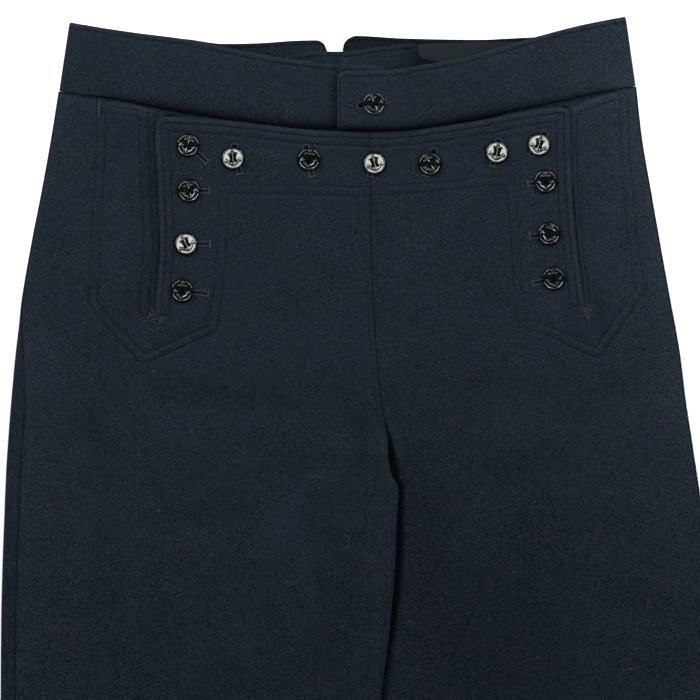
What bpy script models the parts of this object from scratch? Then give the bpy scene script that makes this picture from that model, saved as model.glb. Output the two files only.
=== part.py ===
"""Sailor trousers with a buttoned fall, laid flat with the front up.

The garment lies in the XY plane: +X is the wearer's left, +Y runs up to the waist and +Z
points away from the surface. The origin is the middle of the base of the whole garment's
box. Each cloth piece is a surface through the middle of its cloth, lofted from a short
table of sections, and Solidify gives it its wall. Right and left are the wearer's.
"""

import math
from typing import NamedTuple

import bmesh
import bpy
import numpy as np
from mathutils import Matrix, Vector

# Tables and driving dimensions are in millimetres, and meshes are made in metres
METRE = 0.001
COLLECTION = "Sailor trousers"

# Cloth
CLOTH = 1.6
BAND_CLOTH = 2.4
LINING_CLOTH = 1.0
GAP = 0.3
LAYER = CLOTH + GAP

# The side seam on a folded edge: its clearance, and the short facet that squares each lip
SIDE_SEAM_GAP = 0.6
SEAM_FACET = 0.3

# The fold of the side edges: its radius at the waist seam and down the leg
WAIST_ROLL = 1.5
SIDE_ROLL = 2.2
ROLL_FULL_BELOW = 400.0
ROLL_STARTS_AT = 485.0

# The right side seam turns on to the front of the leg below the hip, by this much
SEAM_TURN = 11.0
SEAM_TURN_FROM = 345.0
SEAM_TURN_TO = 235.0

# Crotch fork, and the right leg where it lies on the left one
FORK_Y = 232.4
LEG_LIFT = 2 * LAYER
LIFT_FULL_BELOW = 212.0
LIFT_MARGIN = 24.0
LIFT_RAMP = 26.0
LIFT_ENDS = (-140.0, -225.0)

# The fall: it lies on the bearers down to this level, and sinks to the back below it
FALL_RESTS_ABOVE = 286.0
FALL_SINKS_TO = 238.0
LIP_RAISE = 1.2
TOP_RAISE = 0.6
LIP_BAND = 7.0
LIP_FADES_OVER = 40.0
SLIT_HALF_GAP = 1.3
SLIT_OPENS_OVER = 100.0

# The front's columns: distances along the cloth from the side seam, how far the tack lies
# outside the lap, and then shares of the way from the lap to the slit and from the slit to
# the inner edge. The back has the same shares, so that the two lie on each other.
FROM_SEAM = (0.0, SEAM_FACET, 1.9, 3.8, 7.0)
GUIDE_STEPS = (0.0, 2.0, 4.0, 6.0, 8.0)
TACK_INSET = 4.2
SIDE_SHARES = np.array((0.0, 0.5, 1.0))
FALL_SHARES = np.array((0.0, 0.042, 0.2, 0.37, 0.5, 0.62, 0.74, 0.86, 0.955, 1.0))
BACK_SHARES = np.delete(FALL_SHARES, 1)

# Rows across a flat strip, and the back's steps round the folded edge to its seam, which
# are more where the seam turns on to the front
EVEN_SHARES = (0.0, 0.5, 1.0)
EDGE_STEPS = 2
TURNED_EDGE_STEPS = 4

# Waistband: it lies low at its two sides and rises on to the bearers between them
BAND_CROWN = 1.8
BAND_LOW_AT = (-229.0, 186.0)
BAND_HIGH_AT = (-208.0, 174.0)
LAP_END_X = 2.2
LAP_CLEAR = 12.0
LAP_RAMP = 24.0
CROWN_FADES = (-66.0, -40.0)
BAND_SHARES = (0.0, 0.12, 0.3, 0.7, 0.88, 1.0)
BAND_CROWN_SHARES = (0.0, 0.6, 1.0, 1.0, 0.6, 0.0)

# Buttons, 24-line, with four sewing holes
BUTTON_STEPS = 16
BUTTON_HEIGHT = 3.0
HOLE_OFFSET = 1.35
HOLE_RADIUS = 0.85
HOLE_SIDES = 6

# Edges sharper than this, in degrees, are shaded as corners
SHARP_ANGLE = 50.0

WOOL = (0.012, 0.019, 0.032)
LINING = (0.016, 0.018, 0.019)
BUTTON = (0.008, 0.008, 0.009)


class Level(NamedTuple):
    """One level across a leg: the height up the garment and where its lines cross it."""

    y: float
    outer: float
    lap: float
    slit: float
    front: float
    back: float


class Station(NamedTuple):
    """One station along a band or an underlay: its upper end and its lower end."""

    top_x: float
    top_y: float
    foot_x: float
    foot_y: float


class Fold(NamedTuple):
    """A soft ridge in the front of a leg: its middle, half size, bearing and height."""

    x: float
    y: float
    half_length: float
    half_width: float
    bearing: float
    height: float


class Place(NamedTuple):
    """Where a button's centre is."""

    name: str
    x: float
    y: float


# The lines down each leg. lap is where the front has risen on to the bearer, slit is the
# slit of the fall carried on to the hem, front and back are the centre seams above the
# fork and the inseam below it.
RIGHT_LEG = (
    Level(487.0, -239.3, -208.0, -168.0, -8.65, -34.2),
    Level(450.0, -245.1, -209.0, -168.0, -8.55, -32.5),
    Level(410.0, -252.3, -211.0, -168.0, -7.95, -28.5),
    Level(370.0, -260.1, -213.5, -167.7, -7.35, -23.0),
    Level(330.0, -267.0, -216.0, -168.7, -5.95, -16.5),
    Level(290.0, -272.3, -214.0, -169.6, -3.55, -9.0),
    Level(250.0, -276.0, -207.0, -169.2, 0.55, -0.5),
    Level(232.4, -277.4, -204.0, -168.8, 3.55, 3.55),
    Level(222.0, -278.1, -203.0, -168.6, 4.9, 4.9),
    Level(212.0, -278.8, -202.0, -168.4, 5.0, 5.0),
    Level(200.0, -279.5, -201.5, -168.2, 7.0, 7.0),
    Level(190.0, -279.9, -201.0, -168.0, 12.0, 12.0),
    Level(184.0, -280.2, -201.0, -168.0, 12.7, 12.7),
    Level(168.0, -280.8, -200.5, -167.6, 11.4, 11.4),
    Level(130.0, -282.2, -200.0, -167.0, 9.9, 9.9),
    Level(90.0, -283.1, -200.0, -166.4, 6.6, 6.6),
    Level(31.0, -283.5, -200.0, -166.0, -0.5, -0.5),
    Level(-60.0, -283.7, -200.0, -166.0, -7.2, -7.2),
    Level(-140.0, -284.2, -201.0, -167.0, -12.7, -12.7),
    Level(-340.0, -288.5, -204.0, -170.0, -10.5, -10.5),
    Level(-540.0, -295.8, -209.0, -174.0, -3.8, -3.8),
)

LEFT_LEG = (
    Level(489.0, 189.4, 174.5, 143.0, -8.35, -33.0),
    Level(450.0, 193.8, 178.5, 143.6, -8.25, -31.9),
    Level(410.0, 200.6, 182.5, 145.6, -7.65, -27.9),
    Level(370.0, 207.6, 187.0, 148.2, -7.05, -22.4),
    Level(330.0, 214.8, 191.0, 151.9, -5.65, -15.9),
    Level(290.0, 222.0, 190.0, 155.4, -3.25, -8.4),
    Level(250.0, 227.0, 184.0, 157.4, 0.85, 0.1),
    Level(232.4, 229.8, 182.0, 158.0, 3.95, 3.95),
    Level(222.0, 231.4, 181.0, 158.4, 5.4, 5.4),
    Level(212.0, 232.8, 180.5, 158.7, 5.7, 5.7),
    Level(200.0, 234.7, 180.0, 159.0, -5.0, -5.0),
    Level(190.0, 236.2, 180.0, 159.2, -17.0, -17.0),
    Level(184.0, 237.0, 180.0, 159.4, -22.5, -22.5),
    Level(168.0, 239.1, 180.0, 159.8, -35.5, -35.5),
    Level(130.0, 243.4, 181.0, 160.6, -51.5, -51.5),
    Level(90.0, 247.3, 182.0, 161.6, -50.0, -50.0),
    Level(31.0, 252.6, 184.0, 163.0, -33.0, -33.0),
    Level(-60.0, 258.8, 188.0, 165.6, -15.5, -15.5),
    Level(-140.0, 263.5, 191.0, 168.0, -8.5, -8.5),
    Level(-340.0, 276.5, 199.0, 174.0, -2.0, -2.0),
    Level(-540.0, 295.8, 212.0, 181.0, 3.8, 3.8),
)

# Levels that each leg is lofted through, below the three that follow its top edge
LOFT_LEVELS = (430, 392, 352, 322, 296, 266, 244, 232.4, 222, 212, 200, 190, 182, 168, 147)
LOFT_LEVELS += (118, 80, 33, -25, -85, -150, -240, -350, -460, -531, -540)
TOP_ROWS = (0.0, 5.0, 15.0)
SLIT_END_ROW = len(TOP_ROWS) + 3
RIGHT_SLIT_END = 318.9
LEFT_SLIT_END = 326.3

# Top edges of the front panels: sewn to the band as far as the tack, then free. The
# second run of each is the top edge of the fall.
RIGHT_SIDE_TOP = ((-241.0, 484.5), (-212.4, 480.8), (-208.2, 478.2), (-187.0, 475.2), (-169.0, 470.4))
RIGHT_FALL_TOP = (
    (-167.0, 461.0),
    (-165.6, 463.8),
    (-160.0, 465.4),
    (-134.8, 464.1),
    (-105.0, 461.6),
    (-75.2, 457.9),
    (-45.4, 455.1),
    (-26.8, 454.5),
    (-8.5, 453.8),
)
LEFT_SIDE_TOP = ((190.5, 488.3), (178.8, 486.8), (174.3, 484.6), (160.0, 479.6), (144.4, 473.0))
LEFT_FALL_TOP = (
    (142.0, 467.8),
    (140.4, 471.2),
    (134.0, 472.6),
    (103.6, 468.4),
    (73.8, 462.6),
    (44.0, 458.0),
    (14.2, 454.6),
    (-8.5, 453.8),
)
RIGHT_BACK_TOP = ((-240.0, 484.6), (-209.0, 479.2), (-145.0, 471.7), (-92.0, 469.2), (-34.0, 468.7))
LEFT_BACK_TOP = ((-33.0, 468.7), (44.0, 470.7), (100.0, 474.7), (163.0, 483.7), (190.0, 488.3))

# Soft ridges of the laid cloth
RIGHT_FOLDS = (
    Fold(-222.0, 130.0, 150.0, 26.0, 92.0, 1.4),
    Fold(-160.0, 150.0, 120.0, 30.0, 82.0, 1.2),
    Fold(-40.0, 160.0, 75.0, 24.0, 70.0, 1.0),
    Fold(-120.0, -210.0, 170.0, 34.0, 94.0, 2.2),
    Fold(-215.0, -330.0, 150.0, 34.0, 88.0, 1.8),
    Fold(-70.0, -390.0, 130.0, 30.0, 87.0, 1.8),
)
LEFT_FOLDS = (
    Fold(55.0, 140.0, 95.0, 24.0, 96.0, 1.8),
    Fold(190.0, 90.0, 130.0, 30.0, 84.0, 1.2),
    Fold(110.0, -230.0, 170.0, 34.0, 86.0, 2.2),
    Fold(210.0, -350.0, 140.0, 34.0, 84.0, 1.8),
    Fold(65.0, -400.0, 120.0, 30.0, 92.0, 1.6),
)

BAND_FRONT_RIGHT = (
    Station(-231.7, 535.7, -239.3, 485.0),
    Station(-224.0, 534.4, -228.0, 483.4),
    Station(-207.0, 531.5, -208.0, 481.0),
    Station(-179.5, 527.5, -180.0, 475.6),
    Station(-149.7, 523.7, -150.0, 469.5),
    Station(-119.9, 517.8, -120.0, 464.9),
    Station(-90.1, 511.8, -90.0, 460.8),
    Station(-60.3, 507.3, -60.0, 457.8),
    Station(-30.5, 504.2, -30.0, 456.1),
    Station(-4.5, 503.6, -6.0, 455.9),
    Station(0.8, 502.4, -2.0, 455.9),
    Station(2.2, 499.5, 2.2, 456.1),
)
BAND_FRONT_LEFT = (
    Station(-32.0, 493.0, -32.0, 457.4),
    Station(-31.2, 496.6, -31.0, 456.7),
    Station(-26.1, 499.2, -25.0, 456.6),
    Station(3.0, 499.9, 3.0, 456.5),
    Station(29.1, 503.6, 29.0, 458.0),
    Station(58.9, 508.8, 59.0, 462.2),
    Station(88.7, 517.0, 89.0, 468.2),
    Station(122.2, 526.7, 122.0, 475.3),
    Station(148.3, 533.4, 148.0, 481.0),
    Station(172.0, 538.2, 173.5, 486.6),
    Station(181.8, 540.0, 189.3, 488.7),
)
BAND_BACK_RIGHT = (
    Station(-231.7, 534.9, -239.4, 485.0),
    Station(-209.0, 530.6, -212.0, 480.0),
    Station(-180.0, 526.2, -180.0, 475.8),
    Station(-145.3, 523.9, -145.0, 472.0),
    Station(-117.0, 520.3, -117.0, 470.4),
    Station(-92.4, 520.8, -92.0, 469.5),
    Station(-60.3, 522.8, -60.0, 469.2),
    Station(-47.7, 523.0, -47.0, 469.1),
    Station(-42.6, 520.4, -41.0, 469.0),
    Station(-40.4, 515.2, -35.8, 469.0),
)
BAND_BACK_LEFT = (
    Station(-28.3, 515.0, -32.4, 469.0),
    Station(-28.0, 519.4, -28.5, 469.1),
    Station(-24.0, 524.4, -24.0, 469.2),
    Station(-18.6, 526.3, -18.0, 469.4),
    Station(14.2, 524.5, 14.0, 470.2),
    Station(44.0, 523.7, 44.0, 471.0),
    Station(73.8, 523.4, 74.0, 472.8),
    Station(100.6, 524.6, 100.0, 475.0),
    Station(122.0, 525.8, 122.0, 478.0),
    Station(148.0, 532.2, 148.0, 481.6),
    Station(181.8, 539.2, 189.3, 488.6),
)
GUSSET = (
    Station(-70.8, 510.0, -68.0, 482.0),
    Station(-60.3, 512.6, -60.0, 480.0),
    Station(-49.2, 514.1, -49.0, 480.0),
    Station(-28.3, 514.1, -28.0, 480.0),
    Station(-0.7, 517.4, -1.0, 480.0),
    Station(26.1, 520.2, 26.1, 482.0),
)
LINING_PATCH = (
    Station(27.0, 519.4, 27.0, 512.5),
    Station(29.5, 520.0, 30.0, 509.4),
    Station(44.0, 520.6, 44.0, 505.0),
    Station(73.8, 521.2, 74.0, 495.0),
    Station(100.0, 521.6, 100.0, 494.0),
    Station(133.0, 524.5, 133.0, 498.0),
)
BEARER_RIGHT = (
    Station(-204.0, 488.4, -211.0, 336.0),
    Station(-196.0, 487.0, -203.0, 325.0),
    Station(-180.0, 483.4, -178.0, 291.0),
    Station(-160.0, 479.4, -154.0, 302.0),
    Station(-135.0, 475.0, -129.0, 313.0),
    Station(-121.0, 472.6, -125.0, 319.0),
    Station(-117.4, 472.0, -114.0, 411.6),
    Station(-75.0, 467.0, -75.0, 410.6),
    Station(-45.0, 465.0, -45.0, 409.6),
    Station(-8.55, 464.2, -8.1, 409.0),
)
BEARER_LEFT = (
    Station(-8.25, 464.2, -7.8, 409.0),
    Station(44.0, 468.6, 44.0, 410.6),
    Station(74.0, 473.4, 74.0, 413.4),
    Station(89.0, 477.0, 88.0, 415.4),
    Station(94.0, 478.2, 104.0, 316.0),
    Station(116.0, 483.0, 124.0, 304.0),
    Station(142.0, 487.6, 163.0, 290.0),
    Station(158.0, 490.4, 178.0, 314.0),
    Station(171.0, 493.6, 187.0, 335.0),
)

# Button centres. Those of the fall run up the right side, across and down the left side.
WAIST_BUTTON = Place("button_waist", -5.2, 475.3)
FALL_BUTTONS = (
    Place("button_fall_1", -148.3, 336.0),
    Place("button_fall_2", -145.3, 371.0),
    Place("button_fall_3", -143.0, 410.5),
    Place("button_fall_4", -143.8, 444.4),
    Place("button_fall_5", -110.3, 434.7),
    Place("button_fall_6", -53.6, 434.0),
    Place("button_fall_7", -4.8, 431.0),
    Place("button_fall_8", 36.5, 430.6),
    Place("button_fall_9", 86.4, 439.2),
    Place("button_fall_10", 117.7, 444.8),
    Place("button_fall_11", 122.6, 417.6),
    Place("button_fall_12", 125.2, 378.5),
    Place("button_fall_13", 128.5, 345.0),
)


# Half profile of a button, radius and height, from the middle of its face to its foot
BUTTON_PROFILE = (
    (0.0, 1.9),
    (4.7, 1.9),
    (5.6, 2.8),
    (6.8, BUTTON_HEIGHT),
    (7.62, 2.2),
    (7.2, 0.6),
    (5.0, 0.0),
    (0.0, 0.0),
)


def rise(value):
    """A smooth step: nought below 0, one above 1."""
    t = np.clip(value, 0.0, 1.0)
    return t * t * (3.0 - 2.0 * t)


def follow(places, values, at):
    """A smooth line through the values that never overshoots them, read at other places."""
    order = np.argsort(places)
    x = np.asarray(places, float)[order]
    y = np.asarray(values, float)[order]
    run = np.diff(x)
    slope = np.diff(y) / run
    same_way = slope[:-1] * slope[1:] > 0
    total = np.where(same_way, slope[:-1] + slope[1:], 1.0)
    middle = np.where(same_way, 2.0 * slope[:-1] * slope[1:] / total, 0.0)
    tangent = np.concatenate((slope[:1], middle, slope[-1:]))
    at = np.clip(at, x[0], x[-1])
    i = np.clip(np.searchsorted(x, at) - 1, 0, len(run) - 1)
    t = (at - x[i]) / run[i]
    start = (2 * t**3 - 3 * t**2 + 1) * y[i] + (t**3 - 2 * t**2 + t) * run[i] * tangent[i]
    end = (3 * t**2 - 2 * t**3) * y[i + 1] + (t**3 - t**2) * run[i] * tangent[i + 1]
    return start + end


def column(table, name, at):
    """One named column of a leg's table, read at any level."""
    return follow([row.y for row in table], [getattr(row, name) for row in table], at)


def folds_height(x, y, folds):
    """The height that the soft ridges add: each a bell along and across its bearing."""
    height = np.zeros_like(x)
    for fold in folds:
        angle = math.radians(fold.bearing)
        along = (x - fold.x) * math.cos(angle) + (y - fold.y) * math.sin(angle)
        across = (y - fold.y) * math.cos(angle) - (x - fold.x) * math.sin(angle)
        bell = (along / fold.half_length) ** 2 + (across / fold.half_width) ** 2
        height = height + fold.height * np.exp(-bell)
    return height


def roll_radius(y):
    """Radius of the folded side edge at a level, through the middle of the cloth."""
    grown = rise((ROLL_STARTS_AT - y) / (ROLL_STARTS_AT - ROLL_FULL_BELOW))
    return WAIST_ROLL + (SIDE_ROLL - WAIST_ROLL) * grown


def fall_rest(y):
    """How far the front is lifted on to the bearers at a level."""
    return LAYER * rise((y - FALL_SINKS_TO) / (FALL_RESTS_ABOVE - FALL_SINKS_TO))


def leg_lift(x, y):
    """How far the right leg is lifted where it lies on the left leg's inner edge."""
    hidden_edge = column(LEFT_LEG, "front", np.minimum(y, LIFT_FULL_BELOW))
    across = rise((x - hidden_edge + LIFT_MARGIN + LIFT_RAMP) / LIFT_RAMP)
    down = rise((FORK_Y - y) / (FORK_Y - LIFT_FULL_BELOW))
    ends = rise((y - LIFT_ENDS[1]) / (LIFT_ENDS[0] - LIFT_ENDS[1]))
    return LEG_LIFT * across * down * ends


def wrapped(outline_x, inward, radius, along, top_height, settle):
    """Points of the cloth's middle round a folded side edge.

    The cloth runs flat along the base, up a half circle and back over the top, where it
    settles from the fold's own height to the height of the front.

    along is the distance along the cloth from the foot of the half circle, and inward is
    the sign of X towards the middle of the leg.
    """
    half_turn = math.pi * radius
    angle = np.clip(along / radius, 0.0, math.pi)
    past = np.maximum(along - half_turn, 0.0)
    before = np.maximum(-along, 0.0)
    x = outline_x + inward * (CLOTH / 2 + radius * (1.0 - np.sin(angle)) + past + before)
    fold_top = CLOTH / 2 + 2.0 * radius
    z = CLOTH / 2 + radius * (1.0 - np.cos(angle))
    z = z + (top_height - fold_top) * rise(past / settle)
    return x, z


class Leg:
    """The front and back panels of one leg, lofted through the levels of its table."""

    def __init__(self, side, table, folds, slit_end, tops, seam_turn):
        self.side = side
        self.table = table
        self.folds = folds
        self.slit_end = slit_end
        self.side_top, self.fall_top, self.back_top = tops
        self.seam_turn = seam_turn
        self.inward = 1.0 if side == "right" else -1.0
        self.lifted = side == "right"

    def levels(self, top_y):
        """Heights of the loft's rows, one array a row, under a top edge of this shape."""
        rows = [top_y - drop for drop in TOP_ROWS]
        for level in LOFT_LEVELS:
            rows.append(np.full_like(top_y, level))
        rows[SLIT_END_ROW][:] = self.slit_end
        return np.array(rows)

    def seam_along(self, y):
        """Where the side seam lies, as a distance round the folded edge."""
        radius = roll_radius(y)
        turned = rise((SEAM_TURN_FROM - y) / (SEAM_TURN_FROM - SEAM_TURN_TO))
        return math.pi * radius / 2 + self.seam_turn * turned

    def front_height(self, x, y):
        """Height of the middle of the front's cloth, away from its folded side edge."""
        height = CLOTH / 2 + LAYER + fall_rest(y) + folds_height(x, y, self.folds)
        if self.lifted:
            height = height + leg_lift(x, y)
        return height

    def slit_half_gap(self, y):
        """Half the width of the slit, which opens upwards from its end."""
        half_gap = SLIT_HALF_GAP * rise((y - self.slit_end) / SLIT_OPENS_OVER)
        half_gap[:SLIT_END_ROW] += GAP / 2
        return half_gap

    def lip_raise(self, y, distance):
        """How far the fall's edge stands up beside the slit."""
        fade = rise((y - self.slit_end) / LIP_FADES_OVER)
        return LIP_RAISE * fade * (1.0 - rise(distance / LIP_BAND))

    def side_guide(self):
        """X of each column of the side block at the top edge, from which its Y is read."""
        top = self.table[0]
        round_fold = [top.outer + self.inward * step for step in GUIDE_STEPS]
        tack = top.lap - self.inward * TACK_INSET
        to_slit = [top.lap + (top.slit - top.lap) * share for share in SIDE_SHARES]
        return np.array([*round_fold, tack, *to_slit])

    def side_block(self):
        """The front from its side seam to the slit, as a grid of points."""
        y = self.levels(follow(*zip(*self.side_top), self.side_guide()))
        radius = roll_radius(y)
        outline = column(self.table, "outer", y)
        lap = column(self.table, "lap", y)
        lip = column(self.table, "slit", y) - self.inward * self.slit_half_gap(y)
        seam = self.seam_along(y) + SIDE_SEAM_GAP
        tack = len(FROM_SEAM)
        along = seam[:, : tack + 1].copy()
        along[:, :tack] += FROM_SEAM
        across = np.abs(lap[:, tack] - outline[:, tack]) - TACK_INSET - CLOTH / 2
        along[:, tack] = across + (math.pi - 1.0) * radius[:, tack]
        flat_top = self.front_height(lap, y)
        settle = np.abs(lap - outline) - radius - CLOTH / 2
        folded = slice(0, tack + 1)
        grid = np.zeros(y.shape + (3,))
        grid[..., 1] = y
        edge = (outline[:, folded], self.inward, radius[:, folded], along)
        grid[:, folded, 0], grid[:, folded, 2] = wrapped(*edge, flat_top[:, folded], settle[:, folded])
        flat = slice(tack + 1, None)
        grid[:, flat, 0] = lap[:, flat] + (lip[:, flat] - lap[:, flat]) * SIDE_SHARES
        grid[:, flat, 2] = self.front_height(grid[:, flat, 0], y[:, flat])
        return grid

    def fall_block(self):
        """The front from the slit to its inner edge, with its half of the fall."""
        top = self.table[0]
        guide = top.slit + (top.front - top.slit) * FALL_SHARES
        y = self.levels(follow(*zip(*self.fall_top), guide))
        lip = column(self.table, "slit", y) + self.inward * self.slit_half_gap(y)
        inner = column(self.table, "front", y)
        grid = np.zeros(y.shape + (3,))
        grid[..., 0] = lip + (inner - lip) * FALL_SHARES
        grid[..., 1] = y
        grid[..., 2] = self.front_height(grid[..., 0], y)
        grid[..., 2] += self.lip_raise(y, np.abs(grid[..., 0] - lip))
        grid[0, :, 2] += TOP_RAISE
        return grid

    def back_grid(self):
        """The back panel, from its side seam round the folded edge to its inner edge."""
        steps = TURNED_EDGE_STEPS if self.seam_turn else EDGE_STEPS
        folded = steps + 2
        top = self.table[0]
        to_inner = top.slit + (top.back - top.slit) * BACK_SHARES
        guide = np.array([top.outer] * folded + [(top.outer + top.slit) / 2, *to_inner])
        y = self.levels(follow(*zip(*self.back_top), guide))
        outline = column(self.table, "outer", y)
        slit = column(self.table, "slit", y)
        inner = column(self.table, "back", y)
        grid = np.zeros(y.shape + (3,))
        grid[..., 1] = y
        grid[..., 2] = CLOTH / 2
        edge_y = y[:, 0]
        radius = roll_radius(edge_y)
        seam = self.seam_along(edge_y)
        step = np.minimum(seam / steps, math.pi * radius / max(steps - 1, 2))
        around = [seam, seam - SEAM_FACET]
        around += [step * remaining for remaining in range(steps - 1, -1, -1)]
        lap = column(self.table, "lap", edge_y)
        settle = np.abs(lap - outline[:, 0]) - radius - CLOTH / 2
        flat_top = self.front_height(lap, edge_y)
        for i, along in enumerate(around):
            x, z = wrapped(outline[:, 0], self.inward, radius, along, flat_top, settle)
            grid[:, i, 0], grid[:, i, 2] = x, z
        grid[:, folded, 0] = (outline[:, folded] + slit[:, folded]) / 2
        flat = slice(folded + 1, None)
        grid[:, flat, 0] = slit[:, flat] + (inner[:, flat] - slit[:, flat]) * BACK_SHARES
        if self.lifted:
            grid[:, flat, 2] += leg_lift(grid[:, flat, 0], y[:, flat])
        return grid


def merged_faces(blocks, slit_rows):
    """Vertices and faces of grids side by side, which share an edge below the slit."""
    points, faces, last_ids = [], [], None
    count = 0
    for block in blocks:
        rows, columns = block.shape[:2]
        ids = np.full((rows, columns), -1)
        fresh = np.ones((rows, columns), bool)
        if last_ids is not None:
            fresh[slit_rows:, 0] = False
            ids[slit_rows:, 0] = last_ids[slit_rows:]
        ids[fresh] = count + np.arange(fresh.sum())
        count += int(fresh.sum())
        points.append(block[fresh])
        corners = (ids[:-1, :-1], ids[1:, :-1], ids[1:, 1:], ids[:-1, 1:])
        faces.append(np.stack(corners, axis=-1).reshape(-1, 4))
        last_ids = ids[:, -1]
    return np.concatenate(points), np.concatenate(faces)


def make_material(name, colour, roughness):
    """A plain finish: the colour and roughness of a cloth or a plastic."""
    material = bpy.data.materials.new(name)
    material.use_nodes = True
    shader = material.node_tree.nodes["Principled BSDF"]
    shader.inputs["Base Color"].default_value = (*colour, 1.0)
    shader.inputs["Roughness"].default_value = roughness
    shader.inputs["Metallic"].default_value = 0.0
    material.diffuse_color = (*colour, 1.0)
    return material


def add_cloth(name, blocks, wall, material, collection, slit_rows=0):
    """A cloth piece: its middle surface, with Solidify for its wall."""
    points, faces = merged_faces(blocks, slit_rows)
    mesh = bpy.data.meshes.new(name)
    mesh.from_pydata((points * METRE).tolist(), [], faces.tolist())
    mesh.update()
    mesh.shade_smooth()
    mesh.set_sharp_from_angle(angle=math.radians(SHARP_ANGLE))
    piece = bpy.data.objects.new(name, mesh)
    collection.objects.link(piece)
    mesh.materials.append(material)
    solidify = piece.modifiers.new("Wall", "SOLIDIFY")
    solidify.thickness = wall * METRE
    solidify.offset = 0.0
    return piece


def strip_grid(stations, shares):
    """A grid between the upper and lower ends of the stations, at these shares down."""
    table = np.array(stations)
    top = table[None, :, 0:2]
    foot = table[None, :, 2:4]
    plan = top + (foot - top) * np.array(shares)[:, None, None]
    return np.concatenate((plan, np.zeros(plan.shape[:2] + (1,))), axis=-1)


def add_legs(wool, collection):
    """The four leg panels."""
    right_tops = (RIGHT_SIDE_TOP, RIGHT_FALL_TOP, RIGHT_BACK_TOP)
    left_tops = (LEFT_SIDE_TOP, LEFT_FALL_TOP, LEFT_BACK_TOP)
    right = Leg("right", RIGHT_LEG, RIGHT_FOLDS, RIGHT_SLIT_END, right_tops, SEAM_TURN)
    left = Leg("left", LEFT_LEG, LEFT_FOLDS, LEFT_SLIT_END, left_tops, 0.0)
    for leg in (right, left):
        blocks = [leg.side_block(), leg.fall_block()]
        backs = [leg.back_grid()]
        if leg.side == "left":
            blocks = [block[:, ::-1] for block in reversed(blocks)]
            backs = [back[:, ::-1] for back in backs]
        add_cloth(f"front_leg_{leg.side}", blocks, CLOTH, wool, collection, SLIT_END_ROW)
        add_cloth(f"back_leg_{leg.side}", backs, CLOTH, wool, collection)


def front_band_height(grid, over_lap):
    """Height of the middle of a front band: over what lies beneath it, with its crown."""
    x = grid[..., 0]
    from_right = rise((x - BAND_LOW_AT[0]) / (BAND_HIGH_AT[0] - BAND_LOW_AT[0]))
    from_left = rise((x - BAND_LOW_AT[1]) / (BAND_HIGH_AT[1] - BAND_LOW_AT[1]))
    low = CLOTH / 2 + 2 * WAIST_ROLL
    high = 2 * LAYER + BAND_CLOTH / 2
    height = low + (high - low) * np.minimum(from_right, from_left)
    crown = BAND_CROWN * np.array(BAND_CROWN_SHARES)[:, None]
    if over_lap:
        lapped = 1.0 - rise((x - LAP_END_X - LAP_CLEAR) / LAP_RAMP)
        return height + (BAND_CLOTH + GAP) * lapped + crown
    faded = rise((x - CROWN_FADES[0]) / (CROWN_FADES[1] - CROWN_FADES[0]))
    return height + crown * (1.0 - faded)


def add_bands(wool, collection):
    """The front and back halves of the waistband."""
    for name, stations, over_lap in (
        ("waistband_front_right", BAND_FRONT_RIGHT, False),
        ("waistband_front_left", BAND_FRONT_LEFT, True),
    ):
        grid = strip_grid(stations, BAND_SHARES)
        grid[..., 2] = front_band_height(grid, over_lap)
        add_cloth(name, [grid], BAND_CLOTH, wool, collection)
    for name, stations in (
        ("waistband_back_right", BAND_BACK_RIGHT),
        ("waistband_back_left", BAND_BACK_LEFT),
    ):
        grid = strip_grid(stations, EVEN_SHARES)
        grid[..., 2] = CLOTH / 2
        add_cloth(name, [grid], CLOTH, wool, collection)


def add_underlays(wool, lining, collection):
    """The gusset, the lining patch and the bearers, flat between back and front."""
    for name, stations, wall, material in (
        ("back_gusset", GUSSET, CLOTH, wool),
        ("back_lining", LINING_PATCH, LINING_CLOTH, lining),
        ("bearer_right", BEARER_RIGHT, CLOTH, wool),
        ("bearer_left", BEARER_LEFT, CLOTH, wool),
    ):
        grid = strip_grid(stations, EVEN_SHARES)
        grid[..., 2] = LAYER + wall / 2
        add_cloth(name, [grid], wall, material, collection)


def turned_blank(collection):
    """The button before it is drilled: its half profile turned round the upright."""
    mesh = bpy.data.meshes.new("blank")
    points = [(radius * METRE, 0.0, height * METRE) for radius, height in BUTTON_PROFILE]
    edges = [(i, i + 1) for i in range(len(points) - 1)]
    mesh.from_pydata(points, edges, [])
    blank = bpy.data.objects.new("blank", mesh)
    collection.objects.link(blank)
    screw = blank.modifiers.new("Turned", "SCREW")
    screw.steps = BUTTON_STEPS
    screw.render_steps = BUTTON_STEPS
    screw.use_merge_vertices = True
    screw.merge_threshold = 0.00001
    return blank


def hole_cutter(collection):
    """Four upright prisms, one for each sewing hole."""
    cutter_mesh = bpy.data.meshes.new("hole_cutter")
    shape = bmesh.new()
    for side_x in (-1.0, 1.0):
        for side_y in (-1.0, 1.0):
            centre = Vector((side_x * HOLE_OFFSET, side_y * HOLE_OFFSET, BUTTON_HEIGHT / 2))
            bmesh.ops.create_cone(
                shape,
                cap_ends=True,
                segments=HOLE_SIDES,
                radius1=HOLE_RADIUS * METRE,
                radius2=HOLE_RADIUS * METRE,
                depth=2 * BUTTON_HEIGHT * METRE,
                matrix=Matrix.Translation(centre * METRE),
            )
    shape.to_mesh(cutter_mesh)
    shape.free()
    cutter = bpy.data.objects.new("hole_cutter", cutter_mesh)
    cutter.hide_render = True
    cutter.display_type = "WIRE"
    collection.objects.link(cutter)
    return cutter


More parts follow.
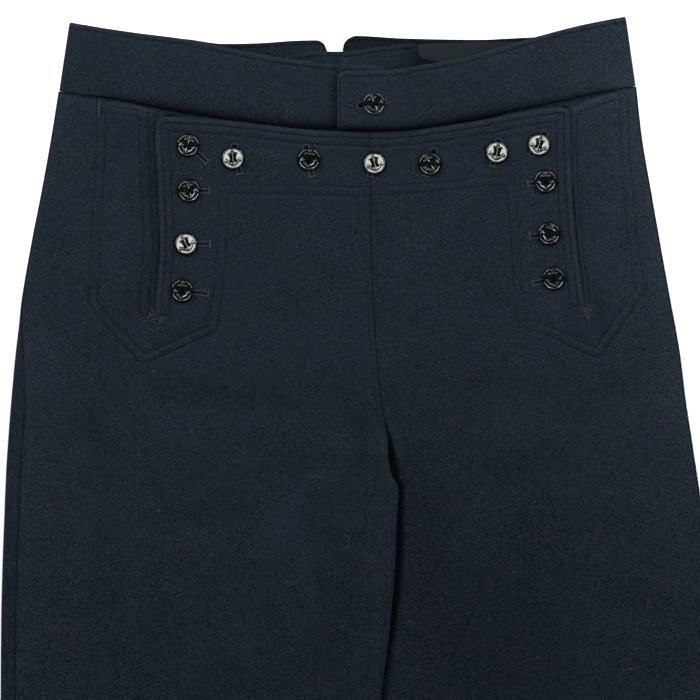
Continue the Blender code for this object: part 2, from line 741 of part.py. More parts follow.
def button_mesh(material):
    """A four-hole button's mesh, its raised rim round a sunken middle, foot at the origin."""
    workshop = bpy.data.collections.new("Cutters")
    bpy.context.scene.collection.children.link(workshop)
    blank = turned_blank(workshop)
    cutter = hole_cutter(workshop)
    drilled = blank.modifiers.new("Holes", "BOOLEAN")
    drilled.operation = "DIFFERENCE"
    drilled.object = cutter
    bpy.context.view_layer.update()
    evaluated = blank.evaluated_get(bpy.context.evaluated_depsgraph_get())
    mesh = bpy.data.meshes.new_from_object(evaluated)
    mesh.name = "four_hole_button"
    mesh.materials.clear()
    mesh.materials.append(material)
    mesh.shade_smooth()
    mesh.set_sharp_from_angle(angle=math.radians(SHARP_ANGLE))
    bpy.data.objects.remove(blank)
    bpy.data.objects.remove(cutter)
    return mesh


def add_buttons(material, collection):
    """The fall's thirteen buttons and the waist button, just clear of the cloth."""
    mesh = button_mesh(material)
    fall_top = 2 * LAYER + CLOTH
    band_top = 2 * LAYER + 2 * BAND_CLOTH + GAP + BAND_CROWN
    for place in (WAIST_BUTTON, *FALL_BUTTONS):
        seat = band_top if place is WAIST_BUTTON else fall_top
        button = bpy.data.objects.new(place.name, mesh)
        button.location = Vector((place.x, place.y, seat + GAP)) * METRE
        collection.objects.link(button)


def main():
    """Clear the scene and build the trousers."""
    for existing in list(bpy.data.objects):
        bpy.data.objects.remove(existing)
    collection = bpy.data.collections.new(COLLECTION)
    bpy.context.scene.collection.children.link(collection)
    wool = make_material("navy_wool", WOOL, 0.9)
    lining = make_material("black_lining", LINING, 0.5)
    plastic = make_material("black_button", BUTTON, 0.25)
    add_legs(wool, collection)
    add_bands(wool, collection)
    add_underlays(wool, lining, collection)
    add_buttons(plastic, collection)


main()
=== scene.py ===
"""The look of a pair of sailor trousers laid flat, front up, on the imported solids.

Tables and sizes are in millimetres in the solids' own frame: +X to the wearer's left, +Y up
to the waist and +Z away from the surface. Meshes are made in metres. Right and left are the
wearer's. Every cloth piece is a grid of points on the middle of its cloth, in the solid's own
form, with its sewing, rolled edges and soft folds added along the grid's normals.
"""

import logging
import math
from dataclasses import dataclass
from enum import Enum
from functools import cache
from typing import Callable, NamedTuple

import bpy
import numpy as np
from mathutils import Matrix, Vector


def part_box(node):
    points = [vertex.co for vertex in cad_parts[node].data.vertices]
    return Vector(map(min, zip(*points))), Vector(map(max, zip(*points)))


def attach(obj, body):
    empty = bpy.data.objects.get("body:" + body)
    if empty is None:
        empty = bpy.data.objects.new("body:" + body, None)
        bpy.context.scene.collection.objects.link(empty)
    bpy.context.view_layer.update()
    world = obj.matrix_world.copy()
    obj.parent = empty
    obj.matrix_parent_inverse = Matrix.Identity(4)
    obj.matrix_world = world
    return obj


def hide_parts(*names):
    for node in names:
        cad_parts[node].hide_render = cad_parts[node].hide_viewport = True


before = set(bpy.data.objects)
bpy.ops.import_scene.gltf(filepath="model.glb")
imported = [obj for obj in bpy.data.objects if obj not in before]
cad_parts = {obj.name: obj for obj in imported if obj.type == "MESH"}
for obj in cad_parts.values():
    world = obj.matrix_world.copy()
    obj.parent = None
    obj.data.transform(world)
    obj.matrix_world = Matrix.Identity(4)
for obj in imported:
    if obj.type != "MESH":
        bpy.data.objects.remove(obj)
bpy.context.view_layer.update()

log = logging.getLogger("sailor_trousers")

Array = np.ndarray
Colour = tuple[float, float, float]
Point = tuple[float, float, float]
Line = tuple[tuple[float, float], ...]
Shape = tuple[Array, list]
Surface = Callable[[Array, Array], Array]
Shade = Callable[[Array, Array, Array], tuple[Array, Array]]
Material = bpy.types.Material
Tree = bpy.types.NodeTree
Socket = bpy.types.NodeSocket
Sockets = bpy.types.bpy_prop_collection
Node = bpy.types.Node

MM = 0.001
BODY = "root"
SHARP_ANGLE = 55.0

# Cloth, as the solids have it
CLOTH = 1.6
BAND_CLOTH = 2.4
LINING_CLOTH = 1.0
GAP = 0.3
LAYER = CLOTH + GAP
HEM_Y = -540.0

# The folded side edges, the side seam's turn on to the front, the lift of the right leg over
# the left one below the crotch fork, and the fall with its slits
WAIST_ROLL = 1.5
SIDE_ROLL = 2.2
ROLL_FULL_BELOW = 400.0
ROLL_STARTS_AT = 485.0
SEAM_TURN = 11.0
SEAM_TURN_FROM = 345.0
SEAM_TURN_TO = 235.0
FORK_Y = 232.4
LEG_LIFT = 2 * LAYER
LIFT_FULL_BELOW = 212.0
LIFT_MARGIN = 24.0
LIFT_RAMP = 26.0
LIFT_ENDS = (-140.0, -225.0)
FALL_RESTS_ABOVE = 286.0
FALL_SINKS_TO = 238.0
SLIT_HALF_GAP = 1.3
SLIT_OPENS_OVER = 100.0

# Waistband: low at its two sides, and raised on to the bearers between them
BAND_LOW_AT = (-229.0, 186.0)
BAND_HIGH_AT = (-208.0, 174.0)
BAND_SHELL = 1.5
LAP_END_X = 2.2
LAP_CLEAR = 12.0
LAP_RAMP = 24.0
CROWN_FADES = (-66.0, -40.0)

# Its crown by the share of the way down, then how far its lower edge turns down and how dark
# the painted shade under it is, both by the distance from that edge
BAND_SWELL = ((0.0, 0.0), (0.07, 0.8), (0.28, 1.6), (0.6, 2.1), (1.0, 2.2))
BAND_FOOT = ((0.0, -3.2), (1.0, -2.1), (2.5, -1.25), (5.0, -0.45), (8.5, 0.0))
BAND_SEWN_FOOT = 0.12
BAND_SHADE = (
    (0.0, 1.0), (0.7, 0.96), (1.6, 0.82), (2.8, 0.58), (4.6, 0.36), (7.0, 0.19), (10.0, 0.07), (13.0, 0.0),
)

# Width of the painted shadow in the gap beside the right leg's inner edge, by level
GAP_WIDTH = (
    (-540.0, 0.6), (-140.0, 0.6), (31.0, 0.8), (60.0, 1.6), (90.0, 2.6), (130.0, 3.4), (168.0, 3.2),
    (184.0, 3.0), (190.0, 3.6), (196.0, 5.4), (204.0, 6.6), (212.0, 5.2), (222.0, 3.0), (232.0, 1.2),
    (241.0, 0.0),
)

# Where painted light from beside the garment grows on its side edges, how far in it reaches,
# and its share low on the left leg, with the level and the length over which it is gained
SIDE_LIGHT_FROM = 350.0
SIDE_LIGHT_OVER = 60.0
SIDE_LIGHT_REACH = 42.0
LOW_LEFT_LIGHT = 0.3
LOW_LEFT_ABOVE = 100.0
LOW_LEFT_OVER = 120.0

# Spacing of the grid next to a free edge, the offset that counts as no row, and the radius of
# the fall's buttons as they show, round which a shadow is painted
EDGE_RUN = (0.0, 0.35, 0.8, 1.4, 2.1, 3.0, 4.2)
NO_ROW = 9.0
BUTTON_RADIUS = 8.1

# Sewing: the height of the hem's row, the side seam's groove, and the depths and widths of the grooves
# along the free edges, the facings, and the centre seam and hem
HEM_TURN = 27.0
SEAM_GROOVE = (0.8, 1.4)
ROW_GROOVES = ((0.6, 1.5), (0.4, 1.4), (0.3, 1.5))

# A level above both slits, the one at which the fall's top rows end at its inner edge, and those
# above which a lip's painted shade ends and painted light falls on the panel's edge
OVER_SLITS_Y = 485.0
TOP_ROWS_END_Y = 452.0
LIP_SHADE_TO = 466.0
EDGE_LIT_ABOVE = 462.0

# The facings' points show below this level, and the left facing's inner corner is faint
POINTS_BELOW = 338.0
FAINT_CORNER = (126.0, 352.0)
FAINT_FADES = (8.0, 16.0)
FAINT_THINNING = 1.1


class Slot(Enum):
    """The record's material slots."""

    WOOL = "navy_wool"
    LINING = "black_lining"
    BUTTON = "black_button"


class Side(Enum):
    """The wearer's right and left, with the way inwards along X."""

    RIGHT = 1.0
    LEFT = -1.0


class Level(NamedTuple):
    """One level across a leg: the height up the garment and where its lines cross it."""

    y: float
    outer: float
    lap: float
    slit: float
    front: float
    back: float


class Station(NamedTuple):
    """One station along a band or an underlay: its upper end and its lower end."""

    top_x: float
    top_y: float
    foot_x: float
    foot_y: float


class Fold(NamedTuple):
    """A soft ridge, or a trough where its height is negative: middle, half size and bearing.

    A patch of painted shade is one too, whose height is how much darker it is painted.
    """

    x: float
    y: float
    half_length: float
    half_width: float
    bearing: float
    height: float


class Reach(NamedTuple):
    """A stretch along an axis, and the lengths over which it fades in and out at its ends."""

    low: float
    high: float
    fade_in: float
    fade_out: float

    def at(self, value: Array) -> Array:
        """A share: one well within the stretch and nought outside it."""
        return rise((value - self.low) / self.fade_in) * rise((self.high - value) / self.fade_out)


class Buttonhole(NamedTuple):
    """A worked buttonhole: its button, its eye's end and its bar's end, and if the eye shows."""

    button: str
    start: tuple[float, float]
    end: tuple[float, float]
    eye_shows: bool


class ButtonPose(NamedTuple):
    """How a button has turned and tilted on its thread, in degrees."""

    turn: float
    tilt_x: float
    tilt_y: float


# Across: where the front bands turn under, where their foot's painted shade is darkest, and where it gapes.
# Then up: where the left leg dips beside the right one that lies over it.
BAND_TURNS = Reach(-216.0, 180.0, 22.0, 22.0)
BAND_DARKEST = Reach(-212.0, 150.0, 70.0, 90.0)
BAND_GAPES = Reach(-212.0, 177.0, 8.0, 8.0)
LEG_DIPS = Reach(-60.0, 252.0, 80.0, 22.0)

RIGHT_LEG = (
    Level(487.0, -239.3, -208.0, -168.7, -8.65, -34.2),
    Level(450.0, -245.1, -209.0, -169.2, -8.55, -32.5),
    Level(410.0, -252.3, -211.0, -167.4, -7.95, -28.5),
    Level(370.0, -260.1, -213.5, -165.6, -7.35, -23.0),
    Level(330.0, -267.0, -216.0, -167.8, -5.95, -16.5),
    Level(290.0, -272.3, -214.0, -168.9, -3.55, -9.0),
    Level(250.0, -276.0, -207.0, -169.2, 0.55, -0.5),
    Level(232.4, -277.4, -204.0, -168.8, 3.55, 3.55),
    Level(222.0, -278.1, -203.0, -168.6, 4.9, 4.9),
    Level(212.0, -278.8, -202.0, -168.4, 5.0, 5.0),
    Level(200.0, -279.5, -201.5, -168.2, 7.0, 7.0),
    Level(190.0, -279.9, -201.0, -168.0, 12.0, 12.0),
    Level(184.0, -280.2, -201.0, -168.0, 12.7, 12.7),
    Level(168.0, -280.8, -200.5, -167.6, 11.4, 11.4),
    Level(130.0, -282.2, -200.0, -167.0, 9.9, 9.9),
    Level(90.0, -283.1, -200.0, -166.4, 6.6, 6.6),
    Level(31.0, -283.5, -200.0, -166.0, -0.5, -0.5),
    Level(-60.0, -283.7, -200.0, -166.0, -7.2, -7.2),
    Level(-140.0, -284.2, -201.0, -167.0, -12.7, -12.7),
    Level(-340.0, -288.5, -204.0, -170.0, -10.5, -10.5),
    Level(-540.0, -295.8, -209.0, -174.0, -3.8, -3.8),
)

LEFT_LEG = (
    Level(489.0, 189.4, 174.5, 142.4, -8.35, -33.0),
    Level(450.0, 193.8, 178.5, 142.6, -8.25, -31.9),
    Level(410.0, 200.6, 182.5, 143.8, -7.65, -27.9),
    Level(370.0, 207.6, 187.0, 146.7, -7.05, -22.4),
    Level(330.0, 214.8, 191.0, 151.3, -5.65, -15.9),
    Level(290.0, 222.0, 190.0, 155.4, -3.25, -8.4),
    Level(250.0, 227.0, 184.0, 157.4, 0.85, 0.1),
    Level(232.4, 229.8, 182.0, 158.0, 3.95, 3.95),
    Level(222.0, 231.4, 181.0, 158.4, 5.4, 5.4),
    Level(212.0, 232.8, 180.5, 158.7, 5.7, 5.7),
    Level(200.0, 234.7, 180.0, 159.0, -5.0, -5.0),
    Level(190.0, 236.2, 180.0, 159.2, -17.0, -17.0),
    Level(184.0, 237.0, 180.0, 159.4, -22.5, -22.5),
    Level(168.0, 239.1, 180.0, 159.8, -35.5, -35.5),
    Level(130.0, 243.4, 181.0, 160.6, -51.5, -51.5),
    Level(90.0, 247.3, 182.0, 161.6, -50.0, -50.0),
    Level(31.0, 252.6, 184.0, 163.0, -33.0, -33.0),
    Level(-60.0, 258.8, 188.0, 165.6, -15.5, -15.5),
    Level(-140.0, 263.5, 191.0, 168.0, -8.5, -8.5),
    Level(-340.0, 276.5, 199.0, 174.0, -2.0, -2.0),
    Level(-540.0, 295.8, 212.0, 181.0, 3.8, 3.8),
)

RIGHT_SIDE_TOP = ((-241.0, 484.5), (-212.4, 480.8), (-208.2, 478.2), (-187.0, 475.2), (-169.0, 470.4))
RIGHT_FALL_TOP = (
    (-167.0, 461.0), (-165.6, 463.8), (-160.0, 465.4), (-134.8, 464.1), (-105.0, 461.6), (-75.2, 457.9),
    (-45.4, 455.1), (-26.8, 454.5), (-8.5, 453.8),
)
LEFT_SIDE_TOP = ((190.5, 488.3), (178.8, 486.8), (174.3, 484.6), (160.0, 479.6), (144.4, 473.0))
LEFT_FALL_TOP = (
    (142.0, 467.8), (140.4, 471.2), (134.0, 472.6), (103.6, 468.4), (73.8, 462.6), (44.0, 458.0),
    (14.2, 454.6), (-8.5, 453.8),
)
RIGHT_BACK_TOP = ((-240.0, 484.6), (-209.0, 479.2), (-145.0, 471.7), (-92.0, 469.2), (-34.0, 468.7))
LEFT_BACK_TOP = ((-33.0, 468.7), (44.0, 470.7), (100.0, 474.7), (163.0, 483.7), (190.0, 488.3))

# The solids' own soft ridges, then the finer folds of the cloth
RIGHT_FOLDS = (
    Fold(-222.0, 130.0, 150.0, 26.0, 92.0, 1.4),
    Fold(-160.0, 150.0, 120.0, 30.0, 82.0, 1.2),
    Fold(-40.0, 160.0, 75.0, 24.0, 70.0, 1.0),
    Fold(-120.0, -210.0, 170.0, 34.0, 94.0, 2.2),
    Fold(-215.0, -330.0, 150.0, 34.0, 88.0, 1.8),
    Fold(-70.0, -390.0, 130.0, 30.0, 87.0, 1.8),
    Fold(-208.0, 239.0, 34.0, 9.0, -52.0, 0.5),
    Fold(-198.0, 144.0, 80.0, 12.0, 92.0, -0.8),
    Fold(-6.0, 205.0, 30.0, 5.0, 72.0, 0.6),
    Fold(-22.0, 218.0, 36.0, 7.0, 62.0, -0.5),
)
LEFT_FOLDS = (
    Fold(55.0, 140.0, 95.0, 24.0, 96.0, 1.8),
    Fold(190.0, 90.0, 130.0, 30.0, 84.0, 1.2),
    Fold(110.0, -230.0, 170.0, 34.0, 86.0, 2.2),
    Fold(210.0, -350.0, 140.0, 34.0, 84.0, 1.8),
    Fold(65.0, -400.0, 120.0, 30.0, 92.0, 1.6),
    Fold(29.0, 150.0, 90.0, 13.0, 92.0, -0.9),
    Fold(24.0, 236.0, 26.0, 6.0, 118.0, 0.5),
    Fold(196.0, 232.0, 46.0, 12.0, 66.0, 0.5),
)

# Painted shade over soft folds: darker patches and, below nought, patches of painted light
RIGHT_PAINTED_SHADE = (
    Fold(-196.0, 286.0, 36.0, 9.0, -38.0, 0.2),
    Fold(-118.0, 260.0, 54.0, 9.0, -2.0, 0.17),
    Fold(-160.0, 306.0, 28.0, 9.0, 12.0, 0.12),
    Fold(-180.0, 262.0, 48.0, 10.0, -42.0, -0.16),
    Fold(-122.0, 243.0, 50.0, 8.0, -4.0, -0.1),
    Fold(-213.0, 232.0, 26.0, 11.0, -44.0, 0.2),
    Fold(-204.0, 136.0, 66.0, 12.0, 96.0, 0.16),
    Fold(-126.0, 172.0, 42.0, 7.0, 8.0, 0.14),
    Fold(-126.0, 157.0, 42.0, 7.0, 8.0, -0.08),
    Fold(-46.0, 130.0, 80.0, 6.0, 97.0, 0.12),
    Fold(-30.0, 110.0, 90.0, 12.0, 94.0, 0.14),
    Fold(-14.0, 221.0, 20.0, 11.0, 95.0, 0.4),
    Fold(-60.0, 361.0, 46.0, 7.0, -34.0, 0.12),
    Fold(-46.0, 369.0, 40.0, 7.0, -34.0, -0.08),
    Fold(-176.0, 424.0, 30.0, 7.0, 88.0, 0.16),
    Fold(-188.0, 330.0, 26.0, 9.0, 70.0, 0.12),
    Fold(-226.0, 298.0, 30.0, 13.0, -55.0, 0.2),
)
LEFT_PAINTED_SHADE = (
    Fold(46.0, 90.0, 150.0, 46.0, 94.0, 0.26),
    Fold(29.0, 150.0, 78.0, 13.0, 93.0, 0.12),
    Fold(104.0, 62.0, 70.0, 36.0, 100.0, 0.2),
    Fold(140.0, 150.0, 70.0, 30.0, 60.0, 0.1),
    Fold(60.0, 384.0, 46.0, 8.0, 49.0, 0.13),
    Fold(50.0, 393.0, 44.0, 8.0, 49.0, -0.08),
    Fold(156.0, 326.0, 20.0, 7.0, 60.0, 0.14),
    Fold(136.0, 284.0, 40.0, 8.0, -20.0, 0.12),
    Fold(128.0, 240.0, 60.0, 22.0, 10.0, -0.12),
    Fold(160.0, 255.0, 38.0, 12.0, 40.0, 0.1),
    Fold(9.0, 232.0, 18.0, 8.0, 100.0, -0.12),
    Fold(112.0, 212.0, 44.0, 18.0, 15.0, 0.18),
    Fold(164.5, 317.0, 13.0, 4.2, 96.0, 0.34),
)

# The middle of the double sewing that holds the facings: down from the right side, round
# that pocket's point, along below the fall's buttons, round the left point and up again
FACING_HALF = 3.2
FACING_LINE: Line = (
    (-208.2, 482.0), (-209.5, 426.0), (-211.9, 388.9), (-213.1, 366.5), (-213.8, 336.7), (-215.2, 328.4),
    (-201.9, 310.7), (-177.0, 285.0), (-151.0, 296.5), (-125.2, 308.4), (-121.4, 336.7), (-119.2, 359.1),
    (-117.7, 388.9), (-117.0, 412.2), (-60.0, 411.4), (-8.2, 410.2), (44.0, 413.9), (96.3, 419.2),
    (98.0, 396.3), (100.2, 374.0), (102.1, 335.2), (104.9, 313.0), (127.4, 305.4), (147.5, 295.0),
    (161.4, 289.6), (177.3, 313.6), (189.2, 330.0), (193.0, 336.7), (190.4, 359.1), (186.6, 381.4),
    (182.1, 433.6), (180.3, 480.0),
)
LEFT_PANEL_ROW: Line = (
    (172.1, 477.6), (160.0, 473.4), (149.6, 470.0), (146.0, 465.0), (145.4, 441.0), (147.6, 403.8),
    (150.4, 370.0), (153.6, 341.0), (156.4, 326.0),
)
BUTTONHOLES = (
    Buttonhole("button_fall_1", (-148.3, 336.0), (-128.6, 333.8), False),
    Buttonhole("button_fall_2", (-145.3, 371.0), (-127.2, 371.0), False),
    Buttonhole("button_fall_3", (-143.0, 410.5), (-127.9, 410.5), False),
    Buttonhole("button_fall_4", (-143.8, 444.4), (-129.4, 431.9), False),
    Buttonhole("button_fall_5", (-109.3, 443.2), (-105.0, 423.0), True),
    Buttonhole("button_fall_6", (-55.8, 442.3), (-51.2, 421.0), True),
    Buttonhole("button_fall_7", (-5.5, 437.0), (-8.4, 421.2), False),
    Buttonhole("button_fall_8", (39.4, 439.9), (33.6, 421.4), True),
    Buttonhole("button_fall_9", (87.6, 447.3), (82.7, 428.8), True),
    Buttonhole("button_fall_10", (121.6, 452.6), (111.4, 436.4), True),
    Buttonhole("button_fall_11", (122.6, 417.6), (109.4, 415.5), False),
    Buttonhole("button_fall_12", (125.2, 378.5), (110.8, 376.4), False),
    Buttonhole("button_fall_13", (128.5, 345.0), (113.0, 341.4), False),
    Buttonhole("button_waist", (-15.2, 474.2), (4.0, 477.2), True),
)

BUTTON_POSES = {
    "button_waist": ButtonPose(24.0, -6.0, 1.6),
    "button_fall_1": ButtonPose(-8.0, -3.5, -2.0),
    "button_fall_2": ButtonPose(28.0, 4.6, 1.4),
    "button_fall_3": ButtonPose(16.0, -3.0, 2.2),
    "button_fall_4": ButtonPose(-18.0, -3.2, -1.6),
    "button_fall_5": ButtonPose(6.0, 3.0, -0.6),
    "button_fall_6": ButtonPose(-8.0, -4.5, -2.0),
    "button_fall_7": ButtonPose(12.0, 3.2, 0.5),
    "button_fall_8": ButtonPose(30.0, -4.0, 1.5),
    "button_fall_9": ButtonPose(-10.0, 2.9, 0.8),
    "button_fall_10": ButtonPose(-16.0, 2.8, 1.0),
    "button_fall_11": ButtonPose(2.0, -3.0, -1.0),
    "button_fall_12": ButtonPose(-24.0, -4.2, 1.6),
    "button_fall_13": ButtonPose(10.0, -3.6, -1.2),
}

# Bars of thread that end the fall's openings, and the small stars at the pockets' points
BAR_TACKS: tuple[Line, ...] = (
    ((-209.6, 484.4), (-210.2, 466.4)),
    ((175.2, 485.8), (175.6, 483.6)),
    ((175.6, 481.7), (175.9, 479.6)),
    ((176.2, 478.0), (176.5, 475.9)),
    ((177.0, 474.2), (177.2, 472.8)),
)
STAR_TACKS: tuple[Line, ...] = (
    ((-172.7, 320.4), (-171.7, 318.1), (-170.2, 317.0)),
    ((-173.4, 315.9), (-172.5, 317.7)),
    ((-171.4, 323.0), (-169.9, 321.1), (-168.4, 317.7)),
    ((-171.1, 313.6), (-169.9, 314.8), (-167.3, 314.9)),
    ((-167.6, 316.6), (-166.5, 317.4), (-165.4, 315.5), (-164.3, 314.0), (-162.8, 312.5), (-163.2, 311.0)),
    ((-166.5, 311.0), (-165.4, 313.3), (-163.9, 314.2), (-161.3, 315.9), (-159.4, 317.4)),
    ((-164.3, 316.2), (-162.4, 317.1)),
    ((-168.0, 306.6), (-165.8, 308.6), (-163.9, 309.7)),
    ((-172.8, 307.7), (-170.6, 306.6), (-169.9, 305.5)),
    ((-169.1, 312.9), (-168.4, 311.0)),
    ((158.3, 325.9), (157.2, 324.1), (156.8, 321.1), (155.0, 321.8), (153.8, 323.3)),
    ((148.3, 322.6), (149.7, 320.7), (152.7, 320.1), (155.7, 320.4)),
    ((153.7, 318.9), (154.2, 316.6), (154.6, 314.0)),
    ((155.3, 318.9), (155.7, 317.7)),
    ((150.5, 318.1), (151.6, 317.4)),
    ((152.2, 323.3), (152.9, 322.2)),
    ((149.4, 324.2), (151.8, 321.7), (154.1, 319.6)),
    ((150.8, 321.6), (153.4, 323.9), (156.1, 326.0), (157.8, 327.6)),
    ((151.0, 319.0), (153.2, 317.4), (154.9, 315.2), (155.2, 312.6)),
    ((152.2, 320.9), (155.6, 322.6)),
    ((153.0, 321.4), (154.6, 318.0)),
    ((149.6, 320.0), (153.9, 321.4), (157.3, 322.9)),
    ((167.6, 485.0), (169.9, 486.1)),
    ((170.6, 485.4), (172.8, 487.2)),
    ((173.6, 486.1), (176.6, 486.9)),
    ((175.1, 484.3), (177.3, 486.1)),
)

# Single long hairs and curls of lint that show on the cloth
HAIRS: tuple[Line, ...] = (
    ((192.9, 50.6), (187.7, 54.4), (181.0, 53.6), (178.0, 48.4)),
    ((-28.3, 155.7), (-24.6, 152.7), (-23.1, 149.0), (-24.6, 145.3), (-27.6, 143.8)),
    ((-32.0, 89.4), (-28.3, 90.9), (-26.1, 88.7), (-28.3, 85.7), (-31.3, 86.4)),
    ((20.1, 89.4), (23.1, 90.1), (24.6, 87.9), (22.4, 85.7)),
    ((-175.8, 378.5), (-172.1, 379.2)),
)

BAND_FRONT_RIGHT = (
    Station(-231.7, 535.7, -239.3, 485.0),
    Station(-224.0, 534.4, -228.0, 483.4),
    Station(-207.0, 531.5, -208.0, 481.0),
    Station(-179.5, 527.5, -180.0, 475.6),
    Station(-149.7, 523.7, -150.0, 469.5),
    Station(-119.9, 517.8, -120.0, 464.9),
    Station(-90.1, 511.8, -90.0, 460.8),
    Station(-60.3, 507.3, -60.0, 457.8),
    Station(-30.5, 504.2, -30.0, 456.1),
    Station(-4.5, 503.6, -6.0, 455.9),
    Station(0.8, 502.4, -2.0, 455.9),
    Station(2.2, 499.5, 2.2, 456.1),
)
BAND_FRONT_LEFT = (
    Station(-32.0, 493.0, -32.0, 457.4),
    Station(-31.2, 496.6, -31.0, 456.7),
    Station(-26.1, 499.2, -25.0, 456.6),
    Station(3.0, 499.9, 3.0, 456.5),
    Station(29.1, 503.6, 29.0, 458.0),
    Station(58.9, 508.8, 59.0, 462.2),
    Station(88.7, 517.0, 89.0, 468.2),
    Station(122.2, 526.7, 122.0, 475.3),
    Station(148.3, 533.4, 148.0, 481.0),
    Station(172.0, 538.2, 173.5, 486.6),
    Station(181.8, 540.0, 189.3, 488.7),
)
BAND_BACK_RIGHT = (
    Station(-231.7, 534.9, -239.4, 485.0),
    Station(-209.0, 530.6, -212.0, 480.0),
    Station(-180.0, 526.2, -180.0, 475.8),
    Station(-145.3, 523.9, -145.0, 472.0),
    Station(-117.0, 520.3, -117.0, 470.4),
    Station(-92.4, 520.8, -92.0, 469.5),
    Station(-60.3, 522.8, -60.0, 469.2),
    Station(-47.7, 523.0, -47.0, 469.1),
    Station(-42.6, 520.4, -41.0, 469.0),
    Station(-40.4, 515.2, -35.8, 469.0),
)
BAND_BACK_LEFT = (
    Station(-28.3, 515.0, -32.4, 469.0),
    Station(-28.0, 519.4, -28.5, 469.1),
    Station(-24.0, 524.4, -24.0, 469.2),
    Station(-18.6, 526.3, -18.0, 469.4),
    Station(14.2, 524.5, 14.0, 470.2),
    Station(44.0, 523.7, 44.0, 471.0),
    Station(73.8, 523.4, 74.0, 472.8),
    Station(100.6, 524.6, 100.0, 475.0),
    Station(122.0, 525.8, 122.0, 478.0),
    Station(148.0, 532.2, 148.0, 481.6),
    Station(181.8, 539.2, 189.3, 488.6),
)
GUSSET = (
    Station(-70.8, 510.0, -68.0, 482.0),
    Station(-60.3, 512.6, -60.0, 480.0),
    Station(-49.2, 514.1, -49.0, 480.0),
    Station(-28.3, 514.1, -28.0, 480.0),
    Station(-0.7, 517.4, -1.0, 480.0),
    Station(26.1, 520.2, 26.1, 482.0),
)
LINING_PATCH = (
    Station(27.0, 519.4, 27.0, 512.5),
    Station(29.5, 520.0, 30.0, 509.4),
    Station(44.0, 520.6, 44.0, 505.0),
    Station(73.8, 521.2, 74.0, 495.0),
    Station(100.0, 521.6, 100.0, 494.0),
    Station(133.0, 524.5, 133.0, 498.0),
)
BEARER_RIGHT = (
    Station(-204.0, 488.4, -211.0, 336.0),
    Station(-196.0, 487.0, -203.0, 325.0),
    Station(-180.0, 483.4, -178.0, 291.0),
    Station(-160.0, 479.4, -154.0, 302.0),
    Station(-135.0, 475.0, -129.0, 313.0),
    Station(-121.0, 472.6, -125.0, 319.0),
    Station(-117.4, 472.0, -114.0, 411.6),
    Station(-75.0, 467.0, -75.0, 410.6),
    Station(-45.0, 465.0, -45.0, 409.6),
    Station(-8.55, 464.2, -8.1, 409.0),
)
BEARER_LEFT = (
    Station(-8.25, 464.2, -7.8, 409.0),
    Station(44.0, 468.6, 44.0, 410.6),
    Station(74.0, 473.4, 74.0, 413.4),
    Station(89.0, 477.0, 88.0, 415.4),
    Station(94.0, 478.2, 104.0, 316.0),
    Station(116.0, 483.0, 124.0, 304.0),
    Station(142.0, 487.6, 163.0, 290.0),
    Station(158.0, 490.4, 178.0, 314.0),
    Station(171.0, 493.6, 187.0, 335.0),
)


def rise(value: Array) -> Array:
    """A smooth step: nought below 0, one above 1."""
    t = np.clip(value, 0.0, 1.0)
    return t * t * (3.0 - 2.0 * t)


def follow(places: Array, values: Array, at: Array) -> Array:
    """A smooth line through values that never overshoots them.

    Each stretch is a cubic whose end slopes are the harmonic means of the slopes beside
    them, or level where those disagree. Places outside the ends read the end values.

    Args:
        places: where the values are, in any order.
        values: the values there.
        at: the places to read.

    Returns:
        The values at the places to read.
    """
    order = np.argsort(places)
    x = np.asarray(places, float)[order]
    y = np.asarray(values, float)[order]
    run = np.diff(x)
    slope = np.diff(y) / run
    same_way = slope[:-1] * slope[1:] > 0
    total = np.where(same_way, slope[:-1] + slope[1:], 1.0)
    middle = np.where(same_way, 2.0 * slope[:-1] * slope[1:] / total, 0.0)
    tangent = np.concatenate((slope[:1], middle, slope[-1:]))
    at = np.clip(at, x[0], x[-1])
    i = np.clip(np.searchsorted(x, at) - 1, 0, len(run) - 1)
    t = (at - x[i]) / run[i]
    start = (2 * t**3 - 3 * t**2 + 1) * y[i] + (t**3 - 2 * t**2 + t) * run[i] * tangent[i]
    end = (3 * t**2 - 2 * t**3) * y[i + 1] + (t**3 - t**2) * run[i] * tangent[i + 1]
    return start + end


def read(table: Line, at: Array) -> Array:
    """A table of places and values, read at any places."""
    return follow(*zip(*table), at)


def column(table: tuple[Level, ...], name: str, at: Array) -> Array:
    """One named column of a leg's table, read at any level."""
    return follow([row.y for row in table], [getattr(row, name) for row in table], at)


def spread(length: Array, even: int) -> Array:
    """Distances across a strip: close together at both its edges and even between them.

    Args:
        length: the strip's width, a number or an array of them.
        even: how many even steps lie between the two close runs.

    Returns:
        The distances, along a new last axis.
    """
    length = np.asarray(length, float)[..., None]
    near = np.array(EDGE_RUN)
    share = np.linspace(0.0, 1.0, even + 1)[1:-1]
    between = near[-1] + share * (length - 2 * near[-1])
    start = np.broadcast_to(near, length.shape[:-1] + near.shape)
    return np.concatenate((start, between, length - near[::-1]), axis=-1)


def line_distance(x: Array, y: Array, line: Line) -> Array:
    """Distance in the plan from points to a line of straight runs: the least over its runs."""
    ends = np.array(line, float)
    nearest = np.full(np.shape(x), np.inf)
    for start, end in zip(ends[:-1], ends[1:]):
        run = end - start
        share = np.clip(((x - start[0]) * run[0] + (y - start[1]) * run[1]) / (run @ run), 0.0, 1.0)
        gap = np.hypot(x - start[0] - share * run[0], y - start[1] - share * run[1])
        nearest = np.minimum(nearest, gap)
    return nearest


def beside(line: Line, offset: float) -> Array:
    """A line moved sideways: each corner moves along the bisector of its turn."""
    points = np.array(line, float)
    way = np.diff(points, axis=0)
    way /= np.linalg.norm(way, axis=1, keepdims=True)
    side = np.stack((-way[:, 1], way[:, 0]), axis=-1)
    turned = (side[:-1] + side[1:]) / (1.0 + (side[:-1] * side[1:]).sum(axis=1, keepdims=True))
    return points + offset * np.concatenate((side[:1], turned, side[-1:]))


